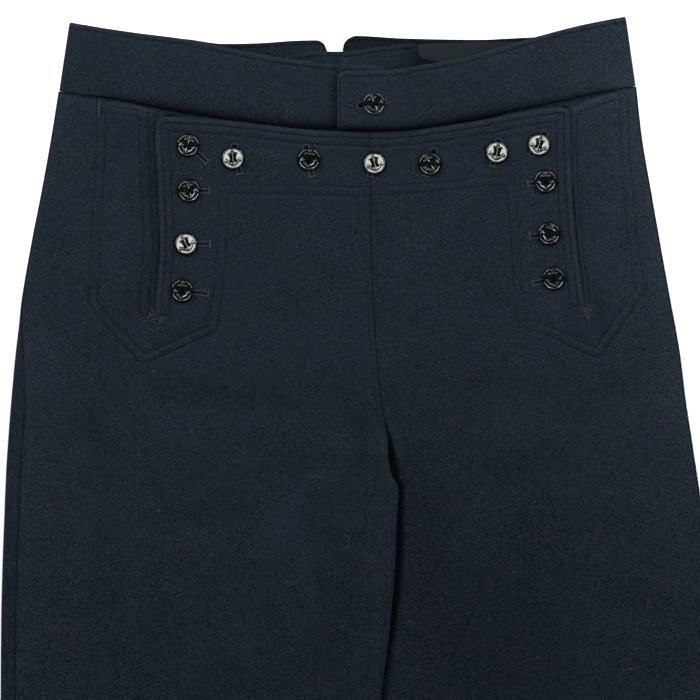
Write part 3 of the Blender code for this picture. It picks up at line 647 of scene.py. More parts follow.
def walk(line: Array, pitch: float) -> tuple[Array, Array]:
    """Points at even steps along a line of straight runs, and its direction at each."""
    line = np.asarray(line, float)
    reach = np.concatenate(([0.0], np.cumsum(np.linalg.norm(np.diff(line, axis=0), axis=1))))
    at = np.linspace(0.0, reach[-1], max(3, round(reach[-1] / pitch) + 1))
    points = np.stack([np.interp(at, reach, line[:, i]) for i in range(line.shape[1])], axis=-1)
    way = np.gradient(points, axis=0)
    return points, way / np.linalg.norm(way, axis=1, keepdims=True)


def path_axes(way: Array) -> Array:
    """Three axes at each point of a path: along it, level across it, and away from the cloth."""
    across = np.cross([0.0, 0.0, 1.0], way)
    across /= np.maximum(np.linalg.norm(across, axis=-1, keepdims=True), 1e-9)
    return np.stack((way, across, np.cross(way, across)), axis=-2)


def ring_corners(sides: int) -> tuple[Array, Array]:
    """The numbers of a ring's corners, and of the next corner after each."""
    one = np.arange(sides)
    return one, (one + 1) % sides


def tube_faces(one: Array, two: Array, rings: int) -> list:
    """The faces from each ring of corners to the next ring."""
    near = (np.arange(rings - 1) * len(one))[:, None]
    far = near + len(one)
    return np.stack((near + one, near + two, far + two, far + one), axis=-1).reshape(-1, 4).tolist()


def fan(one: Array, two: Array, start: int, middle: int) -> list:
    """Triangles from each side of a ring to one point."""
    return [[start + a, start + b, middle] for a, b in zip(one.tolist(), two.tolist())]


def swept(line: Array, width: Array | float, depth: Array | float, sides: int = 6) -> Shape:
    """A closed tube along a path, elliptical in section, with a point at each end.

    Args:
        line: the path's points.
        width: half the tube's size across, at each point or everywhere.
        depth: half its size away from the cloth, at each point or everywhere.
        sides: how many sides the section has.

    Returns:
        The points and the faces' corner numbers.
    """
    way = np.gradient(line, axis=0)
    axes = path_axes(way / np.maximum(np.linalg.norm(way, axis=1, keepdims=True), 1e-9))
    angle = np.arange(sides) * 2 * math.pi / sides
    across = axes[:, None, 1] * (np.cos(angle)[:, None] * np.broadcast_to(width, len(line))[:, None, None])
    away = axes[:, None, 2] * (np.sin(angle)[:, None] * np.broadcast_to(depth, len(line))[:, None, None])
    rings = (line[:, None] + across + away).reshape(-1, 3)
    points = np.concatenate((rings, line[:1] - axes[:1, 0] * 0.05, line[-1:] + axes[-1:, 0] * 0.05))
    one, two = ring_corners(sides)
    caps = fan(one, two, (len(line) - 1) * sides, len(rings) + 1) + fan(two, one, 0, len(rings))
    return points, tube_faces(one, two, len(line)) + caps


def gathered(shapes: list[Shape]) -> Shape:
    """Several shapes as one set of points and faces."""
    points, faces, count = [], [], 0
    for shape_points, shape_faces in shapes:
        points.append(shape_points)
        faces += [[count + corner for corner in face] for face in shape_faces]
        count += len(shape_points)
    return np.concatenate(points), faces


def copies(shape: Shape, centres: Array, axes: Array) -> Shape:
    """One shape set down many times, each at its own place on its own axes."""
    base, faces = shape
    points = centres[:, None] + np.einsum("nk,mkj->mnj", base, axes)
    triangles = np.array([face if len(face) == 4 else face + [-1] for face in faces])
    numbers = triangles[None] + (np.arange(len(centres)) * len(base))[:, None, None]
    listed = numbers.reshape(-1, 4).tolist()
    short = np.tile(triangles[:, 3] < 0, len(centres))
    return points.reshape(-1, 3), [face[:3] if cut else face for face, cut in zip(listed, short.tolist())]


def bell(offset: Array, width: float) -> Array:
    """A bell over offsets: one in its middle, and a little over a third at its width."""
    return np.exp(-((offset / width) ** 2))


def groove(offset: Array, depth: float, width: float) -> Array:
    """A soft trough along a row of sewing: a bell on the offset from the row."""
    return -depth * bell(offset, width)


def edge_roll(distance: Array, reach: float, depth: float) -> Array:
    """How far a rolled edge turns down: a parabola within its reach of the edge."""
    return -depth * np.clip(1.0 - distance / reach, 0.0, 1.0) ** 2


def folds_height(x: Array, y: Array, folds: tuple[Fold, ...]) -> Array:
    """What soft folds, or patches of painted shade, add: each a bell along and across its bearing."""
    height = np.zeros_like(x)
    for fold in folds:
        angle = math.radians(fold.bearing)
        along = (x - fold.x) * math.cos(angle) + (y - fold.y) * math.sin(angle)
        across = (y - fold.y) * math.cos(angle) - (x - fold.x) * math.sin(angle)
        height = height + fold.height * bell(along, fold.half_length) * bell(across, fold.half_width)
    return height


@dataclass(frozen=True)
class Unevenness:
    """The gentle unevenness of laid cloth: a sum of waves with seeded bearings and phases."""

    seed: int
    height: float = 0.3
    shortest: float = 26.0
    longest: float = 130.0
    waves: int = 16

    def at(self, x: Array, y: Array) -> Array:
        """The height at each point: longer waves are higher, in proportion to their length."""
        draw = np.random.default_rng(self.seed)
        length = np.exp(draw.uniform(math.log(self.shortest), math.log(self.longest), self.waves))
        bearing = draw.uniform(0.0, math.pi, self.waves)
        phase = draw.uniform(0.0, 2 * math.pi, self.waves)
        total = np.zeros_like(x)
        for i in range(self.waves):
            along = x * math.cos(bearing[i]) + y * math.sin(bearing[i])
            total = total + length[i] / self.longest * np.sin(2 * math.pi * along / length[i] + phase[i])
        return self.height * total / math.sqrt(self.waves)


def painted_shade_channels(line: Array, rim: Array, soft: Array) -> Array:
    """The three channels of the painted shade, each kept within its range.

    Args:
        line: distance from the nearest line on which the cloth closes, along which a shadow is painted.
        rim: distance from the nearest button's rim, round which a shadow is painted.
        soft: a soft share of painted shade: one is black, and below nought the nap is painted lighter.

    Returns:
        The three, along a new last axis.
    """
    kept = (np.clip(line, 0.0, NO_ROW), np.clip(rim, -NO_ROW, NO_ROW), np.clip(soft, -1.0, 1.0))
    return np.stack(kept, axis=-1)


@cache
def box_middle(node: str) -> Point:
    """The middle of a node's box in the plan and its lowest height, in millimetres."""
    low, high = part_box(node)
    return (low[0] + high[0]) / 2 / MM, (low[1] + high[1]) / 2 / MM, low[2] / MM


def button_distance(x: Array, y: Array) -> Array:
    """Distance in the plan from the middle of the nearest button of the fall."""
    nearest = np.full(np.shape(x), np.inf)
    for node in BUTTON_POSES:
        if node != "button_waist":
            middle = box_middle(node)
            nearest = np.minimum(nearest, np.hypot(x - middle[0], y - middle[1]))
    return nearest


def roll_radius(y: Array) -> Array:
    """Radius of the folded side edge at a level, through the middle of the cloth."""
    grown = rise((ROLL_STARTS_AT - y) / (ROLL_STARTS_AT - ROLL_FULL_BELOW))
    return WAIST_ROLL + (SIDE_ROLL - WAIST_ROLL) * grown


def leg_lift(x: Array, y: Array) -> Array:
    """How far the right leg is lifted where it lies on the left leg's inner edge."""
    hidden_edge = column(LEFT_LEG, "front", np.minimum(y, LIFT_FULL_BELOW))
    across = rise((x - hidden_edge + LIFT_MARGIN + LIFT_RAMP) / LIFT_RAMP)
    down = rise((FORK_Y - y) / (FORK_Y - LIFT_FULL_BELOW))
    ends = rise((y - LIFT_ENDS[1]) / (LIFT_ENDS[0] - LIFT_ENDS[1]))
    return LEG_LIFT * across * down * ends


def raised(points: Array, height: Array, way_up: float) -> Array:
    """A grid moved along its own normals.

    The normal is the cross product of the grid's steps down its rows and along its columns.

    Args:
        points: the grid, rows by columns by three.
        height: how far each point moves.
        way_up: 1 where that product points outwards, -1 where it points inwards.

    Returns:
        The moved grid.
    """
    normal = way_up * np.cross(np.gradient(points, axis=0), np.gradient(points, axis=1))
    normal /= np.maximum(np.linalg.norm(normal, axis=-1, keepdims=True), 1e-9)
    return points + normal * height[..., None]


def joined_grids(blocks: list[Array], joined_from: int) -> tuple[Array, Array]:
    """Points and faces of grids side by side, which share an edge from one row down.

    Args:
        blocks: grids, rows by columns by channels, whose first three channels are the place.
        joined_from: the first row whose edge points two neighbours share.

    Returns:
        The points with all their channels, and the faces' corner numbers.
    """
    points, faces, last_ids = [], [], None
    count = 0
    for block in blocks:
        ids = np.full(block.shape[:2], -1)
        fresh = np.ones(block.shape[:2], bool)
        if last_ids is not None:
            fresh[joined_from:, 0] = False
            ids[joined_from:, 0] = last_ids[joined_from:]
        ids[fresh] = count + np.arange(fresh.sum())
        count += int(fresh.sum())
        points.append(block[fresh])
        corners = (ids[:-1, :-1], ids[1:, :-1], ids[1:, 1:], ids[:-1, 1:])
        faces.append(np.stack(corners, axis=-1).reshape(-1, 4))
        last_ids = ids[:, -1]
    return np.concatenate(points), np.concatenate(faces)


def linked(name: str, data: object) -> bpy.types.Object:
    """A new object of some data, in the scene."""
    made = bpy.data.objects.new(name, data)
    bpy.context.scene.collection.objects.link(made)
    return made


def mesh_object(name: str, points: Array, faces: list) -> bpy.types.Object:
    """A smooth-shaded object of points in millimetres, whose mesh holds its place."""
    mesh = bpy.data.meshes.new(name)
    mesh.from_pydata((points[:, :3] * MM).tolist(), [], faces)
    mesh.update()
    mesh.shade_smooth()
    mesh.set_sharp_from_angle(angle=math.radians(SHARP_ANGLE))
    return linked(name, mesh)


def settle_piece(
    piece: bpy.types.Object, material: Material, slot: Slot, nodes: tuple[str, ...] = ()
) -> None:
    """Dress a piece, and say which body it rides on and the nodes it stands for."""
    piece.data.materials.append(material)
    if nodes:
        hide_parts(*nodes)
    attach(piece, BODY)
    log.info("%s: %d faces, stands for %s", piece.name, len(piece.data.polygons), nodes or "nothing")


def run_length(grid: Array, axis: int) -> float:
    """The longest run along a grid's rows or columns, measured on the cloth."""
    steps = np.linalg.norm(np.diff(grid[..., :3], axis=axis), axis=-1)
    return float(steps.sum(axis=axis).max())


@dataclass
class ClothPiece:
    """One cut piece of cloth, whose wall stands for the node of its own name."""

    node: str
    wall: float
    slot: Slot
    rests_on: tuple[str, ...]

    def blocks(self) -> list[Array]:
        """The piece's grids, from -X to +X: place, offsets of its sewn rows, and its painted shade."""
        raise NotImplementedError

    def joined_from(self) -> int:
        """The row from which the grids share an edge."""
        return 0

    def build(self, material: Material) -> bpy.types.Object:
        blocks = self.blocks()
        points, faces = joined_grids(blocks, self.joined_from())
        piece = mesh_object(f"cloth_{self.node}", points, faces.tolist())
        for name, first in (("sewn_rows", 3), ("painted_shade", 6)):
            channel = piece.data.attributes.new(name, "FLOAT_VECTOR", "POINT")
            channel.data.foreach_set("vector", points[:, first:first + 3].ravel())
        wall = piece.modifiers.new("Wall", "SOLIDIFY")
        wall.thickness = self.wall * MM
        wall.offset = 0.0
        settle_piece(piece, material, self.slot, (self.node,))
        width = sum(run_length(block, 1) for block in blocks)
        length = max(run_length(block, 0) for block in blocks)
        list(self.rests_on)
        return piece


@dataclass
class Leg:
    """One leg: its table, top edges, seams and rows of sewing."""

    side: Side
    table: tuple[Level, ...]
    folds: tuple[Fold, ...]
    slit_end: float
    side_top: Line
    fall_top: Line
    back_top: Line
    seam_turn: float
    panel_rows: tuple[float, ...]
    fall_rows: tuple[float, float]
    unevenness: Unevenness
    lip_shares: tuple[float, float] = (1.0, -0.55)
    painted_fold_shade: tuple[Fold, ...] = ()
    side_light: tuple[float, float] = (0.12, 0.34)
    lip_shade: float = 0.3
    lip_stretch: float = 1.0
    closes_at: float = 408.0
    top_reference: float = 470.0
    top_blends_to: float = 430.0
    facing_raise: float = 0.7
    facing_reach: float = 11.0
    panel_swell: float = 0.9
    centre_row: float = 4.1
    inseam_reach: float = 4.2
    centre_sewn: tuple[float, float] = (FORK_Y, 345.0)
    dimple: tuple[float, float] = (0.4, 9.0)

    @property
    def inward(self) -> float:
        """The sign of X towards the middle of the garment."""
        return self.side.value

    def line(self, name: str, y: Array) -> Array:
        """One of the leg's lines, read at any level."""
        return column(self.table, name, y)

    def top_edge(self, x: Array, fall: bool) -> Array:
        """Height of the upper edge of the fall, or of the front beside it, at places across."""
        return read(self.fall_top if fall else self.side_top, x)

    def outward(self, fall: bool) -> float:
        """The sign of X away from the slit, on the fall or beside it."""
        return self.inward if fall else -self.inward

    def slit_half_gap(self, y: Array) -> Array:
        """Half the width of the slit, which opens upwards from its end."""
        return SLIT_HALF_GAP * rise((y - self.slit_end) / SLIT_OPENS_OVER) + GAP / 2 * (y > self.slit_end)

    def lip_gap(self, y: Array, fall: bool) -> Array:
        """How far a lip's cloth lies from the slit's line: the fall's covers most of the gap."""
        return self.slit_half_gap(y) * self.lip_shares[0 if fall else 1]

    def from_lip(self, x: Array, y: Array, fall: bool) -> Array:
        """Distance from the slit's lip."""
        return self.outward(fall) * (x - self.line("slit", y)) - self.lip_gap(y, fall)

    def from_inner(self, x: Array, y: Array) -> Array:
        """Distance from the front's inner edge."""
        return self.inward * (self.line("front", y) - x)

    def seam_along(self, y: Array) -> Array:
        """Where the side seam lies, as a distance round the folded edge."""
        turned = rise((SEAM_TURN_FROM - y) / (SEAM_TURN_FROM - SEAM_TURN_TO))
        return math.pi * roll_radius(y) / 2 + self.seam_turn * turned

    def seam_shade(self, y: Array) -> Array:
        """What to add to the distance from the side seam, for its painted shade: dark only where it faces up.
        """
        return 1.3 - 0.5 * rise((290.0 - y) / 60.0) * (self.seam_turn > 0.0)

    def front_height(self, x: Array, y: Array) -> Array:
        """Height of the middle of the front's cloth, away from its folded side edge."""
        rest = LAYER * rise((y - FALL_SINKS_TO) / (FALL_RESTS_ABOVE - FALL_SINKS_TO))
        height = CLOTH / 2 + LAYER + rest + folds_height(x, y, self.folds)
        if self.side is Side.RIGHT:
            height = height + leg_lift(x, y)
        return height

    def on_fall(self, x: Array, y: Array) -> Array:
        """Whether points lie on the fall's side of the slit."""
        return self.inward * (x - self.line("slit", y)) > 0

    def free_edge(self, x: Array, y: Array, fall: bool) -> Array:
        """Distance from the nearest free edge, the top one or the slit's lip."""
        drop = self.top_edge(x, fall) - y
        lip = self.from_lip(x, y, fall)
        if not fall:
            lip = lip * self.lip_stretch + 8.0 * rise((4.0 - drop) / 3.0)
        below = np.maximum(self.slit_end - y, 0.0)
        return np.minimum(drop, np.hypot(np.maximum(lip, 0.0), below))

    def row_offsets(self, x: Array, y: Array, fall: bool) -> Array:
        """Offsets from the nearest row of sewing of each kind.

        Along the free edges an offset is how far the distance from the edge is from either
        row of the pair. Along the facings it is the distance from the middle line less half
        the pair's spacing. The last is the distance from the row beside the centre seam, or
        from the hem's row.

        Args:
            x: places across.
            y: places up the leg.
            fall: whether they are on the fall's side of the slit.

        Returns:
            The three offsets, along a new last axis.
        """
        rows = self.fall_rows if fall else self.panel_rows
        if rows:
            near, far = rows
            edge = np.abs(self.free_edge(x, y, fall) - (near + far) / 2) - (far - near) / 2
            edge = edge + np.maximum(self.slit_end - y, 0.0)
            if not fall:
                tack = self.side_top[2][0]
                edge = edge + np.maximum(self.inward * (tack - x), 0.0)
        else:
            edge = line_distance(x, y, LEFT_PANEL_ROW)
        faint = rise((FAINT_CORNER[0] - x) / FAINT_FADES[0]) * rise((FAINT_CORNER[1] - y) / FAINT_FADES[1])
        faint = faint * (self.side is Side.LEFT)
        facing = (line_distance(x, y, FACING_LINE) - FACING_HALF) * (1.0 + FAINT_THINNING * faint)
        sewn = (y > self.centre_sewn[0]) & (y < self.centre_sewn[1])
        seam = np.where(sewn, self.from_inner(x, y) - self.centre_row, NO_ROW)
        hem = y - HEM_Y - HEM_TURN
        seam = np.where(np.abs(hem) < np.abs(seam), hem, seam)
        if rows and not fall:
            facing = np.where(np.abs(edge) < np.abs(facing), edge, facing)
            edge = np.full(x.shape, NO_ROW)
        pointed = (y < POINTS_BELOW) & (np.abs(facing) < np.abs(edge)) & (faint < 0.5)
        edge = np.where(pointed, facing, edge)
        return np.clip(np.stack((edge, facing, seam), axis=-1), -NO_ROW, NO_ROW)

    def edge_row(self, fall: bool, inset: float) -> Array:
        """A row of sewing beside the free edges: up from the slit's end and along the top."""
        stretch = 1.0 if fall else self.lip_stretch
        y = np.arange(self.slit_end, OVER_SLITS_Y)
        x = self.line("slit", y) + self.outward(fall) * (self.lip_gap(y, fall) + inset / stretch)
        up = np.stack((x, y), axis=-1)[self.top_edge(x, fall) - y > inset]
        end = self.line("front", np.array(TOP_ROWS_END_Y)) if fall else self.side_top[2][0]
        across = np.linspace(up[-1, 0], end, 160)[1:]
        return np.concatenate((up, np.stack((across, self.top_edge(across, fall) - inset), axis=-1)))

    def sewn_lines(self) -> list[Array]:
        """Every row of sewing on this leg, but for those of the facings."""
        made = [self.edge_row(True, inset) for inset in self.fall_rows]
        made += [self.edge_row(False, inset) for inset in self.panel_rows]
        if self.side is Side.LEFT:
            y = np.arange(self.centre_sewn[0] + 2.0, self.centre_sewn[1] - 1.0, 2.0)
            made.append(np.stack((self.line("front", y) - self.inward * self.centre_row, y), axis=-1))
            made.append(np.array(LEFT_PANEL_ROW))
        x = np.linspace(self.line("lap", np.array(HEM_Y)), self.line("front", np.array(HEM_Y)), 60)[:-2]
        made.append(np.stack((x, np.full_like(x, HEM_Y + HEM_TURN)), axis=-1))
        return made

    def relief(self, x: Array, y: Array, fall: bool, rows: Array) -> Array:
        """Height that the sewing, facings, rolled edges and unevenness add to the front."""
        edge = self.free_edge(x, y, fall)
        free = rise((y - self.slit_end + 6.0) / 12.0)
        height = edge_roll(edge, 2.4, 1.1) * free
        if fall:
            height = height + self.facing_raise * free * (1.0 - rise((edge - self.facing_reach) / 7.0))
        else:
            swell = self.panel_swell * (1.0 - rise((edge - 12.0) / 25.0))
            height = height + (swell + edge_roll(edge, 8.0, self.panel_swell + 0.4)) * free
        for number, (depth, width) in enumerate(ROW_GROOVES):
            height = height + groove(rows[..., number], depth, width)
        height = height + 0.2 * (1.0 - rise((line_distance(x, y, FACING_LINE) - FACING_HALF + 1.0) / 3.0))
        inner = self.from_inner(x, y)
        seamed = rise((y - FORK_Y + 6.0) / 12.0)
        height = height + groove(inner, 0.8, 0.8) * seamed
        height = height + edge_roll(inner, self.inseam_reach, LAYER - 0.1) * (1.0 - seamed)
        hem = y - HEM_Y
        height = height + edge_roll(hem, 2.4, 0.7) + 0.5 * (1.0 - rise((hem - HEM_TURN + 1.0) / 5.0))
        if self.side is Side.LEFT:
            past = x - column(RIGHT_LEG, "front", y)
            height = height + groove(past, 1.0, 8.0) * LEG_DIPS.at(y) * rise(inner / 8.0)
        if fall:
            height = height + groove(button_distance(x, y), *self.dimple)
        return height + self.unevenness.at(x, y)

    def side_light_at(self, x: Array, y: Array) -> Array:
        """How much painted light from beside the garment brightens the nap near the side edge."""
        high, low = self.side_light
        light = high + (low - high) * rise((SIDE_LIGHT_FROM - y) / SIDE_LIGHT_OVER)
        if self.side is Side.LEFT:
            gained = rise((y - LOW_LEFT_ABOVE) / LOW_LEFT_OVER)
            light = light * (LOW_LEFT_LIGHT + (1.0 - LOW_LEFT_LIGHT) * gained)
        return light * np.exp(-np.abs(x - self.line("outer", y)) / SIDE_LIGHT_REACH)

    def painted_shade(self, x: Array, y: Array, fall: bool) -> Array:
        """Painted shade and light on each point of the front, by how deep it lies among folds and edges.

        Args:
            x: places across.
            y: places up the leg.
            fall: whether they are on the fall's side of the slit.

        Returns:
            The three channels of the painted shade, along a new last axis.
        """
        free = rise((y - self.slit_end + 5.0) / 10.0)
        # Painted shadow along the inseam above the fork, and along the slit's lips
        line = np.where(y > FORK_Y - 3.0, self.from_inner(x, y) + 0.25, NO_ROW)
        rim = np.full(np.shape(x), NO_ROW)
        edge = self.free_edge(x, y, fall)
        lip = np.hypot(np.maximum(self.from_lip(x, y, fall), 0.0), np.maximum(self.slit_end - y, 0.0))
        fades = 2.0 * rise((y - self.closes_at) / 30.0) + 1.2 * rise((self.slit_end + 12.0 - y) / 12.0)
        line = np.minimum(line, lip * (0.9 if fall else 0.65) + (0.3 if fall else 0.1) + fades)
        if fall:
            # On the fall: painted shadow round each button, painted shade at the free edge and a painted
            # highlight just inside it
            rim = button_distance(x, y) - BUTTON_RADIUS
            soft = (0.35 * bell(edge, 0.5) - 0.24 * bell(edge - 2.3, 1.5)) * free
        else:
            # Beside the fall: painted shade along the lip, and painted light on the panel's lit edge
            below = rise((LIP_SHADE_TO - y) / 6.0)
            soft = (self.lip_shade * bell(lip, 7.0) + 0.3 * bell(lip, 1.0)) * free * below
            lit = np.maximum(rise((lip - 6.0) / 6.0), rise((y - EDGE_LIT_ABOVE) / 6.0))
            soft = soft - 0.18 * bell(edge - 2.4, 1.6) * free * lit
        if self.side is Side.LEFT:
            # On the left leg: painted shadow in the gap beside the right leg's inner edge
            past = x - column(RIGHT_LEG, "front", y)
            gap = 1.0 - rise((past - read(GAP_WIDTH, y)) / (3.0 + 2.5 * rise((190.0 - y) / 40.0)))
            soft = soft + gap * rise((243.0 - y) / 6.0)
        # Painted shade over folds, less the painted light from beside the garment
        return painted_shade_channels(line, rim, soft + folds_height(x, y, self.painted_fold_shade) - self.side_light_at(x, y))

    def height_on_front(self, x: Array, y: Array) -> Array:
        """Height of the front's outer face, where things lie on it."""
        x, y = np.broadcast_arrays(np.asarray(x, float), np.asarray(y, float))
        radius = roll_radius(y)
        outline = self.line("outer", y)
        past = self.inward * (x - outline) - CLOTH / 2 - radius
        settle = np.abs(self.line("lap", y) - outline) - radius - CLOTH / 2
        fold_top = CLOTH / 2 + 2.0 * radius
        height = fold_top + (self.front_height(x, y) - fold_top) * rise(past / settle)
        fall = self.on_fall(x, y)
        parts = [self.relief(x, y, part, self.row_offsets(x, y, part)) for part in (True, False)]
        return height + np.where(fall, parts[0], parts[1]) + CLOTH / 2

    def wrapped(self, along: Array, y: Array) -> Array:
        """Points of the cloth's middle at distances along it from the foot of its side fold.

        The cloth runs flat along the base, up a half circle and back over the top, where it
        settles from the fold's own height to that of the front.

        Args:
            along: distance along the cloth, negative before the fold.
            y: the level of each point.

        Returns:
            The points, along a new last axis.
        """
        radius = roll_radius(y)
        outline = self.line("outer", y)
        angle = np.clip(along / radius, 0.0, math.pi)
        past = np.maximum(along - math.pi * radius, 0.0)
        flat = past + np.maximum(-along, 0.0)
        x = outline + self.inward * (CLOTH / 2 + radius * (1.0 - np.sin(angle)) + flat)
        settle = np.abs(self.line("lap", y) - outline) - radius - CLOTH / 2
        z = CLOTH / 2 + radius * (1.0 - np.cos(angle))
        z = z + (self.front_height(x, y) - CLOTH / 2 - 2.0 * radius) * rise(past / settle)
        return np.stack((x, y, z), axis=-1)


@dataclass
class FrontLeg(ClothPiece):
    """A front leg panel with its half of the fall, cut down along the slit."""

    leg: Leg
    side_steps: int = 44
    fall_steps: int = 72
    side_width: float = 100.0
    fall_width: float = 160.0

    def levels(self) -> tuple[Array, int]:
        """Heights of the rows, close at the top and finest over the sewing, and the slit's row."""
        top, end = self.leg.top_reference, self.leg.slit_end
        runs = (
            (top, top - 6.0, 0.6),
            (top - 6.0, end, 1.9),
            (end, 215.0, 2.0),
            (215.0, 20.0, 3.0),
            (20.0, -150.0, 4.5),
            (-150.0, HEM_Y + 6.0, 7.5),
            (HEM_Y + 6.0, HEM_Y, 1.2),
        )
        parts = [np.linspace(a, b, round((a - b) / step), endpoint=False) for a, b, step in runs]
        return np.concatenate((*parts, [HEM_Y])), len(parts[0]) + len(parts[1])

    def joined_from(self) -> int:
        """The fall joins the rest of the front below the slit."""
        return self.levels()[1]

    def heights(self, top_y: Array) -> Array:
        """Y of each point: rows that follow the top edge at first and are level further down."""
        leg = self.leg
        level = self.levels()[0][:, None]
        blend = rise((level - leg.top_blends_to) / (leg.top_reference - leg.top_blends_to))
        return level + (top_y - leg.top_reference) * blend

    def blocks(self) -> list[Array]:
        """The side block, round the folded edge to the slit, and the fall block."""
        leg = self.leg
        top = leg.table[0]
        slit_row = self.joined_from()
        made = []
        for fall, steps in ((False, self.side_steps), (True, self.fall_steps)):
            start, end = (top.slit, top.front) if fall else (top.outer, top.slit)
            guide = start + leg.inward * spread(abs(end - start), steps)
            y = self.heights(leg.top_edge(guide, fall))
            across = self.across(y, fall, steps, slit_row)
            if fall:
                base = np.stack((across, y, leg.front_height(across, y)), axis=-1)
            else:
                base = leg.wrapped(across, y)
            x = base[..., 0]
            rows = leg.row_offsets(x, y, fall)
            height = leg.relief(x, y, fall, rows)
            painted_shade = leg.painted_shade(x, y, fall)
            if not fall:
                seam = across - across[:, :1]
                height = height * rise((seam - 2.0) / 10.0) + groove(seam, *SEAM_GROOVE)
                # Painted shade along the side seam
                painted_shade[..., 0] = np.minimum(painted_shade[..., 0], np.abs(seam) + leg.seam_shade(y))
            grid = np.concatenate((raised(base, height, leg.inward), rows, painted_shade), axis=-1)
            made.append(grid if leg.side is Side.RIGHT else grid[:, ::-1])
        return made if leg.side is Side.RIGHT else made[::-1]

    def across(self, y: Array, fall: bool, steps: int, slit_row: int) -> Array:
        """Where each column lies: X on the fall, or distance along the cloth outside it."""
        leg = self.leg
        half_gap = leg.lip_gap(y, fall)
        half_gap[slit_row:] = 0.0
        slit = leg.line("slit", y)
        if fall:
            lip = slit + leg.inward * half_gap
            inner = leg.line("front", y)
            return lip + (inner - lip) * spread(np.array([self.fall_width]), steps) / self.fall_width
        lip = np.abs(slit - leg.line("outer", y)) - half_gap
        radius = roll_radius(y)
        end = math.pi * radius + lip - CLOTH / 2 - radius
        start = leg.seam_along(y)
        return start + (end - start) * spread(np.array([self.side_width]), steps) / self.side_width


@dataclass
class BackLeg(ClothPiece):
    """A back leg panel, from its side seam round the folded edge to its inner edge."""

    leg: Leg
    edge_steps: int = 12
    flat_steps: int = 14
    top_reference: float = 487.0
    top_blends_to: float = 440.0
    coarse_below: float = 200.0

    def blocks(self) -> list[Array]:
        """One grid: fine round the fold and coarse where it lies hidden on the surface."""
        leg = self.leg
        top = leg.table[0]
        reference, coarse = self.top_reference, self.coarse_below
        fine_levels = np.arange(reference, coarse, -4.0)
        level = np.concatenate((fine_levels, np.arange(coarse, HEM_Y, -7.5), [HEM_Y]))[:, None]
        round_edge = np.linspace(-1.0, 0.0, self.edge_steps, endpoint=False)
        share = np.concatenate((round_edge, np.linspace(0.0, 1.0, self.flat_steps)))[None, :]
        guide = np.where(share < 0, top.outer, top.outer + (top.back - top.outer) * share)
        top_y = read(leg.back_top, guide)
        blend = rise((level - self.top_blends_to) / (reference - self.top_blends_to))
        y = np.minimum(level + (top_y - reference) * blend, top_y - 0.3 * (reference - level))
        y = np.where(level > reference - 0.1, top_y, y)
        outline = leg.line("outer", y)
        width = np.abs(leg.line("back", y) - outline) - CLOTH / 2 - roll_radius(y) - 1.2
        along = np.where(share < 0, -share * leg.seam_along(y), -share * width)
        base = leg.wrapped(along, y)
        base[..., 2] = np.where(share > 0, CLOTH / 2, base[..., 2])
        if leg.side is Side.RIGHT:
            base[..., 2] += np.where(share > 0, leg_lift(base[..., 0], y), 0.0)
        from_seam = leg.seam_along(y) - along
        placed = raised(base, groove(from_seam, *SEAM_GROOVE), leg.inward)
        rows = np.full(y.shape + (3,), NO_ROW)
        # Painted shade along the side seam, where it faces up
        painted_shade = painted_shade_channels(np.abs(from_seam) + leg.seam_shade(y), rows[..., 0], np.zeros_like(y))
        grid = np.concatenate((placed, rows, painted_shade), axis=-1)
        return [grid if leg.side is Side.RIGHT else grid[:, ::-1]]


